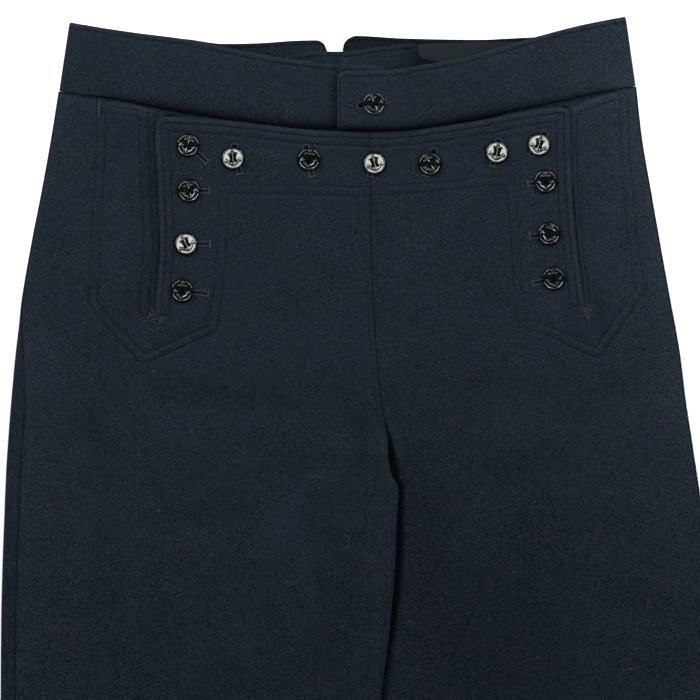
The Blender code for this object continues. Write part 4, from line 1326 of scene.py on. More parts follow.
@dataclass
class Strip(ClothPiece):
    """A band or an underlay between its stations, with an edge row and soft edges."""

    stations: tuple[Station, ...]
    outer_face: Surface
    shade: Shade
    row_inset: float = NO_ROW
    rows_at_ends: tuple[bool, bool] = (False, False)
    roll: tuple[float, float] = (2.0, 0.8)
    end_roll: tuple[float, float] = (2.0, 0.8)
    steps: tuple[int, int] = (20, 100)
    unevenness: Unevenness = Unevenness(3, height=0.15)

    def place(self) -> tuple[Array, Array, Array, Array]:
        """Plan of the grid: places, distance below the top edge, height, and along the strip."""
        table = np.array(self.stations)
        steps = np.diff(table, axis=0)
        chord = np.linalg.norm(steps[:, :2], axis=1) + np.linalg.norm(steps[:, 2:], axis=1)
        reach = np.concatenate(([0.0], np.cumsum(chord / 2)))
        along = spread(reach[-1], self.steps[1])
        top_x, top_y, foot_x, foot_y = (follow(reach, table[:, i], along) for i in range(4))
        height = np.hypot(top_x - foot_x, top_y - foot_y)
        down = spread(height, self.steps[0]).T
        share = down / height
        plan = np.stack((top_x + (foot_x - top_x) * share, top_y + (foot_y - top_y) * share), axis=-1)
        return plan, down, height[None, :] - down, np.broadcast_to(along, down.shape)

    def foot(self, x: Array, from_foot: Array) -> Array:
        """Height that the lower edge adds; a plain strip adds a small roll."""
        return edge_roll(from_foot, *self.roll)

    def blocks(self) -> list[Array]:
        """One grid, whose outer face is at the strip's own height."""
        plan, down, from_foot, along = self.place()
        x, y = plan[..., 0], plan[..., 1]
        ends = (along, along.max() - along)
        edge = down
        for at_end, distance in zip(self.rows_at_ends, ends):
            if at_end:
                edge = np.minimum(edge, distance)
        rows = np.full(down.shape + (3,), NO_ROW)
        if self.row_inset < NO_ROW:
            rows[..., 0] = np.clip(edge - self.row_inset, -NO_ROW, NO_ROW)
        height = self.outer_face(x, down / (down + from_foot)) - self.wall / 2
        height = height + edge_roll(down, *self.roll) + self.foot(x, from_foot)
        for distance in ends:
            height = height + edge_roll(distance, *self.end_roll)
        height = height + groove(rows[..., 0], 0.35, 1.4) + self.unevenness.at(x, y)
        height = np.maximum(height, self.wall / 2 + 0.05)
        # The strip's painted shade, from its shade function
        line, soft = self.shade(x, y, from_foot)
        painted_shade = painted_shade_channels(line, np.full(x.shape, NO_ROW), soft)
        return [np.concatenate((plan, height[..., None], rows, painted_shade), axis=-1)]

    def sewn_line(self) -> Array:
        """The strip's row of sewing on its outer face, read off its grid at the row's inset."""
        grid = self.blocks()[0]
        _, down, _, along = self.place()
        down_row = int(np.argmin(np.abs(down[:, 0] - self.row_inset)))
        row = grid[down_row, :, :3]
        keep = np.ones(len(row), bool)
        start, end = [], []
        at_ends = (along[0], along[0, -1] - along[0])
        for at_end, distance, part in zip(self.rows_at_ends, at_ends, (start, end)):
            if at_end:
                column_number = int(np.argmin(np.abs(distance - self.row_inset)))
                keep &= distance >= self.row_inset - 0.2
                part.append(grid[down_row:-2, column_number, :3])
        pieces = [piece[::-1] for piece in start] + [row[keep]] + end
        return np.concatenate(pieces) + np.array([0.0, 0.0, self.wall / 2])


@dataclass
class FrontBand(Strip):
    """A front half of the waistband, whose lower edge turns down behind the fall."""

    def foot(self, x: Array, from_foot: Array) -> Array:
        """The lower edge turns down, less where it is sewn to the panels at the sides."""
        turned = BAND_SEWN_FOOT + (1.0 - BAND_SEWN_FOOT) * BAND_TURNS.at(x)
        return read(BAND_FOOT, from_foot) * turned


def front_band_face(over_lap: bool) -> Surface:
    """The outer face of a front band: over what lies beneath it, with its crown."""

    def face(x: Array, share: Array) -> Array:
        """Height at places along the band and shares of the way down it."""
        from_right = rise((x - BAND_LOW_AT[0]) / (BAND_HIGH_AT[0] - BAND_LOW_AT[0]))
        from_left = rise((x - BAND_LOW_AT[1]) / (BAND_HIGH_AT[1] - BAND_LOW_AT[1]))
        low = CLOTH / 2 + 2 * WAIST_ROLL
        high = 2 * LAYER + BAND_CLOTH / 2
        height = low + (high - low) * np.minimum(from_right, from_left) + BAND_CLOTH / 2
        crown = read(BAND_SWELL, share)
        if over_lap:
            lapped = 1.0 - rise((x - LAP_END_X - LAP_CLEAR) / LAP_RAMP)
            return height + (BAND_CLOTH + GAP) * lapped + crown
        faded = rise((x - CROWN_FADES[0]) / (CROWN_FADES[1] - CROWN_FADES[0]))
        return height + crown * (1.0 - faded)

    return face


def front_band_top(x: Array) -> Array:
    """How far up the front bands' top edge is, on whichever half each point is behind."""
    tables = (BAND_FRONT_RIGHT, BAND_FRONT_LEFT)
    right, left = (read([station[:2] for station in table], x) for table in tables)
    return np.where(x < BAND_FRONT_LEFT[0].top_x, right, left)


def behind_band(depth: float, darker_from: float = 1e3) -> Shade:
    """The painted shade on a back piece: dark where the front band's top edge covers it."""

    def shade(x: Array, y: Array, from_foot: Array) -> tuple[Array, Array]:
        """Distance above the front band, and the soft share of painted shade."""
        above = y - front_band_top(x)
        soft = depth + 0.4 * rise((x - darker_from) / 24.0) + 0.3 * (1.0 - rise(above / 7.0))
        return np.abs(above) + 0.2, soft

    return shade


def bearer_shade(x: Array, y: Array, from_foot: Array) -> tuple[Array, Array]:
    """A bearer's painted shadow: dark along the top edge of the fall that hangs over it."""
    top = np.where(x < RIGHT_FALL_TOP[-1][0], read(RIGHT_FALL_TOP, x), read(LEFT_FALL_TOP, x))
    return np.abs(y - top - 0.9) * 0.55, np.zeros_like(x)


def front_band_shade(over_lap: bool) -> Shade:
    """The painted shade of a front band: dark where it turns under and beside the over lap's end, with
    painted light on that end and near its side edge.
    """

    def shade(x: Array, y: Array, from_foot: Array) -> tuple[Array, Array]:
        """Distance from the over lap's end, and the soft share of painted shade."""
        # Painted shade under the turned-down foot
        side = BAND_DARKEST.at(x)
        if over_lap:
            side = side * (0.88 - 0.66 * (1.0 - rise((x - 2.0) / 62.0)))
        soft = read(BAND_SHADE, from_foot / (0.2 + 0.95 * side)) * BAND_GAPES.at(x) + 0.03
        past_end = x - BAND_FRONT_LEFT[0].top_x
        line = np.full(np.shape(x), NO_ROW)
        if over_lap:
            # Painted light on the over lap's own end and near its side edge
            from_side = np.abs(BAND_LOW_AT[1] - x)
            lit = 0.3 * bell(past_end - 2.4, 1.6) + 0.62 * np.exp(-from_side / SIDE_LIGHT_REACH)
            soft = soft - lit
        else:
            # Painted shadow beside the over lap's end, on the band beneath
            soft = soft + 0.5 * bell(past_end, 5.0) * rise((499.0 - y) / 4.0)
            line = np.where(y < 497.0, np.abs(past_end) * 0.8, NO_ROW)
        return line, soft

    return shade


def level_face(height: float) -> Surface:
    """A flat outer face at one height."""
    return lambda x, share: np.full(np.shape(x), height)


def front_surface(legs: tuple[Leg, Leg], x: Array, y: Array) -> Array:
    """Height of the fronts' outer face on whichever leg each point is."""
    x, y = np.asarray(x, float), np.asarray(y, float)
    on_right = x < column(RIGHT_LEG, "front", y)
    return np.where(on_right, legs[0].height_on_front(x, y), legs[1].height_on_front(x, y))


def set_down(line: Array, surface: Surface, pitch: float = 1.0) -> Array:
    """A line in the plan laid on a surface."""
    points = walk(line, pitch)[0]
    return np.column_stack((points, surface(points[:, 0], points[:, 1])))


@dataclass
class Sewing:
    """Rows of machine stitches: short thick threads that sink into the cloth at both ends."""

    pitch: float = 2.7
    length: float = 2.3
    thickness: float = 0.27
    sunk: float = 0.2
    seed: int = 5

    def stitch(self) -> Shape:
        """One stitch along X: three five-sided rings between two points, bowed at its ends."""
        share = np.array([-0.36, 0.0, 0.36])
        size = np.array([0.8, 1.0, 0.8]) * self.thickness
        bow = -0.55 * self.thickness * (share / 0.36) ** 2
        line = np.stack((share * self.length, 0.0 * share, bow), axis=-1)
        points, faces = swept(line, size, size, 5)
        points[-2:, 0] = (-self.length / 2, self.length / 2)
        points[-2:, 2] = -1.3 * self.thickness
        return points, faces

    def build(self, name: str, lines: list[Array], material: Material) -> None:
        """Set stitches down along every line and make them one piece."""
        draw = np.random.default_rng(self.seed)
        centres, axes = [], []
        for line in lines:
            points, way = walk(line, self.pitch)
            middle = (points[:-1] + points[1:]) / 2
            way = way[:-1] + draw.normal(0.0, 0.035, (len(middle), 3)) * [1.0, 1.0, 0.3]
            moved = draw.normal(0.0, 0.07, middle.shape) * [1.0, 1.0, 0.2]
            centres.append(middle + moved - [0.0, 0.0, self.sunk])
            axes.append(path_axes(way / np.linalg.norm(way, axis=1, keepdims=True)))
        points, faces = copies(self.stitch(), np.concatenate(centres), np.concatenate(axes))
        settle_piece(mesh_object(name, points, faces), material, Slot.WOOL)


@dataclass
class ThreadWork:
    """Worked thread: the buttonholes' purled edges, eyes and bars, and the tacks, with dark sheets of painted
    shadow in the buttonholes' slits and eyes.
    """

    cord_size: tuple[float, float] = (0.44, 0.4)
    bar_size: tuple[float, float] = (0.7, 0.5)
    # Half sizes of the dark sheet of painted shadow in each slit
    slit_shadow_size: tuple[float, float] = (0.32, 0.1)
    tack_size: tuple[float, float] = (0.23, 0.2)
    eye_width: float = 1.7
    spacing: float = 1.8
    bar_half: float = 3.0
    eye_radius: float = 2.6
    purl: float = 0.75
    step: float = 0.17
    seed: int = 17

    def cord(self, line: Array, width: float, depth: float) -> Shape:
        """A cord whose thickness swells at each loop of its purling."""
        points, _ = walk(line, self.step)
        number = np.arange(len(points))
        swell = 0.78 + 0.3 * np.sqrt(np.abs(np.sin(math.pi * number * self.step / self.purl)))
        ends = np.minimum(1.0, 0.4 + np.minimum(number, number[::-1]) * 0.2)
        return swept(points, width * swell * ends, depth * swell * ends, 8)

    def hole(self, hole: Buttonhole, surface: Surface) -> tuple[list, list]:
        """A buttonhole's cords, and the dark sheets of painted shadow in its slit and eye."""
        start, end = np.array(hole.start), np.array(hole.end)
        way = (end - start) / np.linalg.norm(end - start)
        side = np.array([-way[1], way[0]])
        cords = []
        first = start + way * (self.eye_radius if hole.eye_shows else 0.0)
        for off in (-side * self.spacing, side * self.spacing):
            edge = np.stack((first + off, end + off * 0.9))
            cords.append(self.cord(set_down(edge, surface), *self.cord_size))
        bar = np.stack((end - side * self.bar_half, end + side * self.bar_half))
        cords.append(self.cord(set_down(bar, surface, 0.5) + [0.0, 0.0, 0.15], *self.bar_size))
        # A dark sheet of painted shadow along the slit
        cut = [swept(set_down(np.stack((start, end - way)), surface) + [0.0, 0.0, 0.02], *self.slit_shadow_size)]
        if hole.eye_shows:
            angle = np.linspace(0.16, 0.84, 28) * 2 * math.pi + math.atan2(way[1], way[0])
            ring = start + self.eye_radius * np.stack((np.cos(angle), np.sin(angle)), axis=-1)
            cords.append(self.cord(set_down(ring, surface, 0.4), *self.cord_size))
            # A dark sheet of painted shadow in the eye
            share = np.linspace(-1.0, 1.0, 9)
            across = share[:, None] * side * self.eye_radius * 0.8 + start
            width = self.eye_width * np.sqrt(np.clip(1.0 - share**2, 0.05, 1.0))
            line = np.column_stack((across, surface(across[:, 0], across[:, 1]) + 0.03))
            cut.append(swept(line, width, 0.12))
        return cords, cut

    def build(self, surface: Surface, band: Surface, thread: Material, dark: Material) -> None:
        """Make every buttonhole and tack: the thread as one piece and the painted shadows in the slits as
        another.
        """
        cords, slit_shadows = [], []
        for hole in BUTTONHOLES:
            made = self.hole(hole, band if hole.button == "button_waist" else surface)
            cords += made[0]
            slit_shadows += made[1]
        draw = np.random.default_rng(self.seed)
        for lines, strands, spread_by in ((BAR_TACKS, 3, 0.6), (STAR_TACKS, 2, 0.3)):
            for line in lines:
                for strand in range(strands):
                    bent = beside(line, (strand - (strands - 1) / 2) * spread_by)
                    bent += draw.normal(0.0, 0.2, bent.shape)
                    laid = set_down(bent, surface, 0.7) + [0.0, 0.0, 0.08]
                    cords.append(swept(laid, *self.tack_size, 5))
        settle_piece(mesh_object("worked_thread", *gathered(cords)), thread, Slot.WOOL)
        # The painted shadows of the slits and eyes as one piece
        settle_piece(mesh_object("buttonhole_slit_shadows", *gathered(slit_shadows)), dark, Slot.WOOL)


def turned_about(axis: int, angle: float) -> Array:
    """The matrix of a turn about one axis."""
    one, two = (axis + 1) % 3, (axis + 2) % 3
    made = np.eye(3)
    made[one, one] = made[two, two] = math.cos(angle)
    made[one, two] = -math.sin(angle)
    made[two, one] = math.sin(angle)
    return made


@dataclass
class AnchorButton:
    """A turned four-hole button with a raised rim and a plain anchor raised on its face."""

    node: str
    pose: ButtonPose
    widened: float = 1.1
    face_radius: float = 5.9
    hole_radius: float = 0.95
    hole_offset: tuple[float, float] = (1.55, 1.7)
    hole_depth: float = 1.3
    ridge: float = 0.42
    crest: float = 0.12
    slope: float = 0.6
    face_start: float = 0.12
    back_height: float = 0.3
    tilts_at: float = 1.4
    thread_size: tuple[float, float] = (0.32, 0.3)
    shank_radius: float = 1.3
    rings: int = 54
    sides: int = 152
    rim: Line = (
        (6.0, 1.86), (6.16, 1.84), (6.22, 1.85), (6.25, 1.87), (6.3, 1.91), (6.39, 1.99), (6.48, 2.058),
        (6.57, 2.112), (6.63, 2.142), (6.68, 2.155), (6.74, 2.155), (6.79, 2.142), (6.85, 2.112),
        (6.94, 2.058), (7.03, 1.99), (7.12, 1.91), (7.17, 1.86), (7.24, 1.7), (7.31, 1.45), (7.36, 1.2),
        (7.3, 0.8), (6.6, 0.42), (4.5, 0.3), (2.0, 0.3),
    )

    def anchor(self, x: Array, y: Array) -> Array:
        """Distance from the anchor's lines: its shank, stock, arms, flukes and ring."""
        lines: list[Line] = [
            ((0.0, 4.3), (0.0, -4.4)),
            ((-2.8, 3.3), (0.0, 3.7), (2.8, 3.3)),
            ((-4.8, -0.7), (-3.4, -2.7), (-1.7, -4.1), (0.0, -4.9), (1.7, -4.1), (3.4, -2.7), (4.8, -0.7)),
            ((-5.1, -1.9), (-4.8, -0.5), (-3.5, -1.3)),
            ((5.1, -1.9), (4.8, -0.5), (3.5, -1.3)),
        ]
        nearest = np.abs(np.hypot(x, y - 4.85) - 0.6) + 0.12
        for line in lines:
            nearest = np.minimum(nearest, line_distance(x, y, line))
        return nearest

    def face_height(self, x: Array, y: Array) -> Array:
        """Height of the face: a slight dish, with the anchor raised and the holes sunk."""
        across = np.hypot(x, y)
        height = 1.8 + 0.06 * (across / self.face_radius) ** 2
        down = np.clip((self.anchor(x, y) - self.crest) / self.slope, 0.0, 1.0)
        height = height + self.ridge * (1.0 - down)
        sunk = np.zeros_like(x)
        for sign_x in (-1.0, 1.0):
            for sign_y in (-1.0, 1.0):
                off = np.hypot(x - sign_x * self.hole_offset[0], y - sign_y * self.hole_offset[1])
                sunk = np.maximum(sunk, 1.0 - rise((off - self.hole_radius + 0.12) / 0.24))
        return height - self.hole_depth * sunk

    def placed(self, points: Array) -> Array:
        """Points of the button turned and tilted on its thread, where the solid is."""
        turn, lean, roll = (math.radians(value) for value in self.pose)
        turning = turned_about(1, roll) @ turned_about(0, -lean) @ turned_about(2, turn)
        middle = np.array([0.0, 0.0, self.tilts_at])
        wide = np.array([self.widened, self.widened, 1.0])
        return (points * wide - middle) @ turning.T + middle + box_middle(self.node)

    def build(self, material: Material) -> None:
        """Make the button: its face on rings of points, then its rim and back."""
        angle = np.arange(self.sides) * 2 * math.pi / self.sides
        rim_radius, rim_height = np.array(self.rim).T
        rings = np.concatenate((np.linspace(self.face_start, self.face_radius, self.rings), rim_radius))
        x, y = rings[:, None] * np.cos(angle), rings[:, None] * np.sin(angle)
        outer = np.broadcast_to(rim_height[:, None], (len(self.rim), self.sides))
        z = np.concatenate((self.face_height(x[:self.rings], y[:self.rings]), outer))
        points = np.stack((x, y, z), axis=-1).reshape(-1, 3)
        points = np.concatenate((points, [[0.0, 0.0, float(z[0].mean())], [0.0, 0.0, self.back_height]]))
        one, two = ring_corners(self.sides)
        near = (np.arange(len(rings) - 1) * self.sides)[:, None]
        far = near + self.sides
        skin = np.stack((near + one, far + one, far + two, near + two), axis=-1)
        last = (len(rings) - 1) * self.sides
        top, bottom = len(points) - 2, len(points) - 1
        caps = fan(one, two, 0, top) + fan(two, one, last, bottom)
        piece = mesh_object(f"anchor_{self.node}", self.placed(points), skin.reshape(-1, 4).tolist() + caps)
        settle_piece(piece, material, Slot.BUTTON, (self.node,))

    def threads(self) -> list[Shape]:
        """The thread through the holes: three strands on each side, and the shank below."""
        made = []
        share = np.linspace(-1.0, 1.0, 11)
        across_x, across_y = self.hole_offset
        sunk = np.clip(np.abs(share) - 0.85, 0.0, 1.0)
        arch = 2.0 + 0.5 * np.sqrt(np.clip(1.0 - share**2, 0.0, 1.0)) - 6.0 * sunk
        for side in (-1.0, 1.0):
            for lane in (-0.5, 0.0, 0.5):
                x = side * across_x + lane * (0.7 + 0.2 * (1.0 - share**2))
                line = np.stack((x, share * (across_y + 0.6), arch - 0.2 * abs(lane)), axis=-1)
                made.append(swept(self.placed(line), *self.thread_size))
        shank = np.stack((np.zeros(5), np.linspace(-0.05, 0.05, 5), np.linspace(0.5, -0.8, 5)), axis=-1)
        angle = np.arange(8) * math.pi / 4
        circle = np.stack((np.cos(angle), np.sin(angle), 0 * angle), axis=-1)
        rings = shank[:, None] + self.shank_radius * circle
        one, two = ring_corners(len(angle))
        ends = [one.tolist(), (len(angle) * (len(shank) - 1) + one[::-1]).tolist()]
        made.append((self.placed(rings.reshape(-1, 3)), tube_faces(two, one, len(shank)) + ends))
        return made


@dataclass
class Lint:
    """Pale curled fibres caught in the nap."""

    count: int = 260
    thickness: float = 0.065
    hair_thickness: float = 0.05
    parts: int = 6
    seed: int = 9

    def build(self, surface: Surface, material: Material) -> None:
        """Scatter the fibres over the fronts, each an arc that hugs the cloth."""
        draw = np.random.default_rng(self.seed)
        y = draw.uniform(-520.0, 440.0, self.count)
        low, high = column(RIGHT_LEG, "lap", y), column(LEFT_LEG, "lap", y)
        start = np.stack((low + (high - low) * draw.uniform(0.0, 1.0, self.count), y), axis=-1)
        length = 0.5 + 3.6 * draw.uniform(0.0, 1.0, self.count) ** 2
        share = np.linspace(0.0, 1.0, self.parts)
        bend = draw.uniform(-2.4, 2.4, (self.count, 1))
        bearing = draw.uniform(0.0, 2 * math.pi, (self.count, 1))
        angle = bearing + bend * share
        steps = np.stack((np.cos(angle), np.sin(angle)), axis=-1) * length[:, None, None] / self.parts
        plan = start[:, None] + np.cumsum(steps, axis=1)
        height = surface(plan[..., 0], plan[..., 1]) + 0.08 + 0.2 * np.sin(math.pi * share)
        size = self.thickness * draw.uniform(0.6, 1.5, self.count)
        lines = np.concatenate((plan, height[..., None]), axis=-1)
        made = [swept(line, thick, thick, 3) for line, thick in zip(lines, size)]
        for hair in HAIRS:
            laid = set_down(hair, surface, 0.8) + [0.0, 0.0, 0.1]
            made.append(swept(laid, self.hair_thickness, self.hair_thickness, 4))
        settle_piece(mesh_object("lint", *gathered(made)), material, Slot.WOOL)


def add_node(tree: Tree, kind: str, inputs: dict | None = None, **settings: object) -> Node:
    """Add a node, set its settings, and link or set its inputs.

    Args:
        tree: the node tree.
        kind: the node's type.
        inputs: by the input's name or number, an output socket to link or a value to set.
        settings: the node's own settings.

    Returns:
        The node.
    """
    made = tree.nodes.new(kind)
    for key, value in settings.items():
        setattr(made, key, value)
    for key, value in (inputs or {}).items():
        if isinstance(value, Socket):
            tree.links.new(value, made.inputs[key])
        else:
            made.inputs[key].default_value = value
    return made


def maths(tree: Tree, operation: str, *values: object) -> Socket:
    """A Math node of one operation on sockets or numbers, and its output."""
    return add_node(tree, "ShaderNodeMath", dict(enumerate(values)), operation=operation).outputs[0]


def swing(tree: Tree, value: object, gain: object, base: object) -> Socket:
    """A base plus how far a value is from a half, times a gain."""
    return maths(tree, "MULTIPLY_ADD", maths(tree, "SUBTRACT", value, 0.5), gain, base)


def ramp(tree: Tree, value: object, span: tuple, ends: tuple[float, float], smooth: bool = True) -> Socket:
    """A value's place in a span, read between the two values at its ends."""
    sockets = dict(enumerate((value, *span, *ends)))
    kind = "SMOOTHSTEP" if smooth else "LINEAR"
    return add_node(tree, "ShaderNodeMapRange", sockets, interpolation_type=kind).outputs[0]


def noise(tree: Tree, place: object, scale: object, detail: float, roughness: float = 0.5) -> Socket:
    """A noise texture's value."""
    settings = {"Vector": place, "Scale": scale, "Detail": detail, "Roughness": roughness}
    return add_node(tree, "ShaderNodeTexNoise", settings).outputs["Fac"]


def own_place(tree: Tree) -> Socket:
    """Each point's place in its own object."""
    return add_node(tree, "ShaderNodeTexCoord").outputs["Object"]


def stored(tree: Tree, name: str) -> Socket:
    """The three channels that a mesh holds under a name."""
    return add_node(tree, "ShaderNodeAttribute", attribute_name=name).outputs["Vector"]


def grouped(tree: Tree, group: Tree, label: str, value: object) -> Sockets:
    """A node of a group with one input linked, as its outputs by name."""
    return add_node(tree, "ShaderNodeGroup", {label: value}, node_tree=group).outputs


def new_group(
    name: str, inputs: dict[str, float | None], outputs: tuple[str, ...]
) -> tuple[Tree, Sockets, Sockets]:
    """A shader node group with named inputs, and numbers as its outputs.

    Args:
        name: the group's name.
        inputs: by name, a number's default, or None for a vector.
        outputs: the outputs' names.

    Returns:
        The group, its inputs' sockets and its outputs' sockets.
    """
    group = bpy.data.node_groups.new(name, "ShaderNodeTree")
    for label, value in inputs.items():
        kind = "NodeSocketVector" if value is None else "NodeSocketFloat"
        socket = group.interface.new_socket(label, in_out="INPUT", socket_type=kind)
        if value is not None:
            socket.default_value = value
    for label in outputs:
        group.interface.new_socket(label, in_out="OUTPUT", socket_type="NodeSocketFloat")
    return group, group.nodes.new("NodeGroupInput").outputs, group.nodes.new("NodeGroupOutput").inputs


def nap_group() -> Tree:
    """Felted cloth: a tone that varies by fibre and by patch, pale flecks, and a height in mm."""
    inputs = {"Vector": None, "Fibre Scale": 1600.0, "Patch Scale": 22.0, "Fleck Scale": 330.0}
    group, given, result = new_group("felted_nap", inputs, ("Tone", "Hue", "Fleck", "Height"))
    place, fine, wide = given["Vector"], given["Fibre Scale"], given["Patch Scale"]

    def felt(at: object, scale: object, times: float, detail: float) -> Socket:
        """The felt's noise at a scale times a number."""
        return noise(group, at, maths(group, "MULTIPLY", scale, times), detail, 0.62)

    fibre = felt(place, fine, 1.0, 3.0)
    tuft = felt(place, fine, 0.38, 2.0)
    patch = felt(place, wide, 1.0, 2.0)
    grain = add_node(group, "ShaderNodeTexVoronoi", {"Vector": place, "Scale": fine}).outputs["Color"]
    grain = add_node(group, "ShaderNodeSeparateColor", {0: grain}).outputs[1]
    tone = 0.5
    for value, gain in ((fibre, 2.55), (grain, 0.62), (tuft, 0.35), (patch, 0.25)):
        tone = swing(group, value, gain, tone)
    shift = {0: place, 1: (3.1, 1.7, 0.4)}
    moved = add_node(group, "ShaderNodeVectorMath", shift, operation="ADD").outputs[0]
    hue = swing(group, felt(moved, fine, 0.3, 1.0), 1.8, 0.5)
    hue = swing(group, felt(moved, wide, 2.4, 1.0), 1.6, hue)
    cell = add_node(group, "ShaderNodeTexVoronoi", {"Vector": place, "Scale": given["Fleck Scale"]}).outputs
    close = ramp(group, cell["Distance"], (0.05, 0.15), (1.0, 0.0), smooth=False)
    pick = add_node(group, "ShaderNodeSeparateColor", {0: cell["Color"]}).outputs[0]
    fleck = maths(group, "MULTIPLY", close, maths(group, "GREATER_THAN", pick, 0.82))
    height = maths(group, "MULTIPLY_ADD", fibre, 0.24, maths(group, "MULTIPLY", tuft, 0.16))
    for label, value in (("Tone", tone), ("Hue", hue), ("Fleck", fleck), ("Height", height)):
        group.links.new(value, result[label])
    return group


def sewn_line_group() -> Tree:
    """The thin lines that sewing presses into cloth: a mask, strongest along the free edges."""
    group, given, result = new_group("sewn_line", {"Offsets": None, "Width": 1.25}, ("Mask",))
    offsets = add_node(group, "ShaderNodeSeparateXYZ", {0: given["Offsets"]}).outputs
    strongest = 0.0
    for offset, most in zip(offsets, (1.0, 0.7, 0.5)):
        mask = ramp(group, maths(group, "ABSOLUTE", offset), (0.0, given["Width"]), (most, 0.0))
        strongest = maths(group, "MAXIMUM", mask, strongest)
    group.links.new(strongest, result["Mask"])
    return group


def painted_shade_group() -> Tree:
    """Painted shade where cloth lies deep: dark along closed lines, round buttons and by the soft share, and
    painted light where that share is below nought.
    """
    group, given, result = new_group("hollow_shade", {"Painted Shade": None}, ("Dark", "Light"))
    line, rim, soft = add_node(group, "ShaderNodeSeparateXYZ", {0: given["Painted Shade"]}).outputs
    closed = ramp(group, line, (0.2, 1.3), (0.985, 0.0))
    rimmed = ramp(group, rim, (0.1, 2.3), (0.9, 0.0))
    dark = maths(group, "MAXIMUM", maths(group, "MAXIMUM", closed, rimmed), soft)
    light = maths(group, "MAXIMUM", maths(group, "MULTIPLY", soft, -1.0), 0.0)
    group.links.new(dark, result["Dark"])
    group.links.new(light, result["Light"])
    return group


def twill_group() -> Tree:
    """Fine twill: diagonal ribs across the cloth with a little unevenness, and their height."""
    group, given, result = new_group("fine_twill", {"Vector": None, "Rib Scale": 330.0}, ("Rib", "Height"))
    place = given["Vector"]
    wave = {"Vector": place, "Scale": given["Rib Scale"], "Distortion": 0.6, "Detail": 1.0}
    rib = add_node(group, "ShaderNodeTexWave", wave, bands_direction="DIAGONAL").outputs["Fac"]
    group.links.new(swing(group, noise(group, place, 1500.0, 2.0), 2.4, rib), result["Rib"])
    group.links.new(maths(group, "MULTIPLY", rib, 0.05), result["Height"])
    return group


def new_material(name: str) -> tuple[Material, Tree, Node]:
    """A material with an empty tree but for its Principled BSDF and output."""
    material = bpy.data.materials.new(name)
    material.use_nodes = True
    tree = material.node_tree
    return material, tree, tree.nodes["Principled BSDF"]


def set_inputs(shader: Node, values: dict[str, object]) -> None:
    """Set constant values on a shader's own sockets."""
    for key, value in values.items():
        shader.inputs[key].default_value = value


def bumped(tree: Tree, shader: Node, height: Socket, strength: float, distance: float = MM) -> None:
    """Give a shader a bump: a height, in a unit of so many metres, at a strength."""
    bump = add_node(tree, "ShaderNodeBump", {"Strength": strength, "Distance": distance, "Height": height})
    tree.links.new(bump.outputs[0], shader.inputs["Normal"])


def mixed(tree: Tree, share: object, one: object, other: object, blend: str = "MIX") -> Socket:
    """A colour mix and its output."""
    node = add_node(tree, "ShaderNodeMix", {"Factor": share}, data_type="RGBA", blend_type=blend)
    for number, value in ((6, one), (7, other)):
        if isinstance(value, Socket):
            tree.links.new(value, node.inputs[number])
        else:
            node.inputs[number].default_value = (*value, 1.0)
    return node.outputs[2]


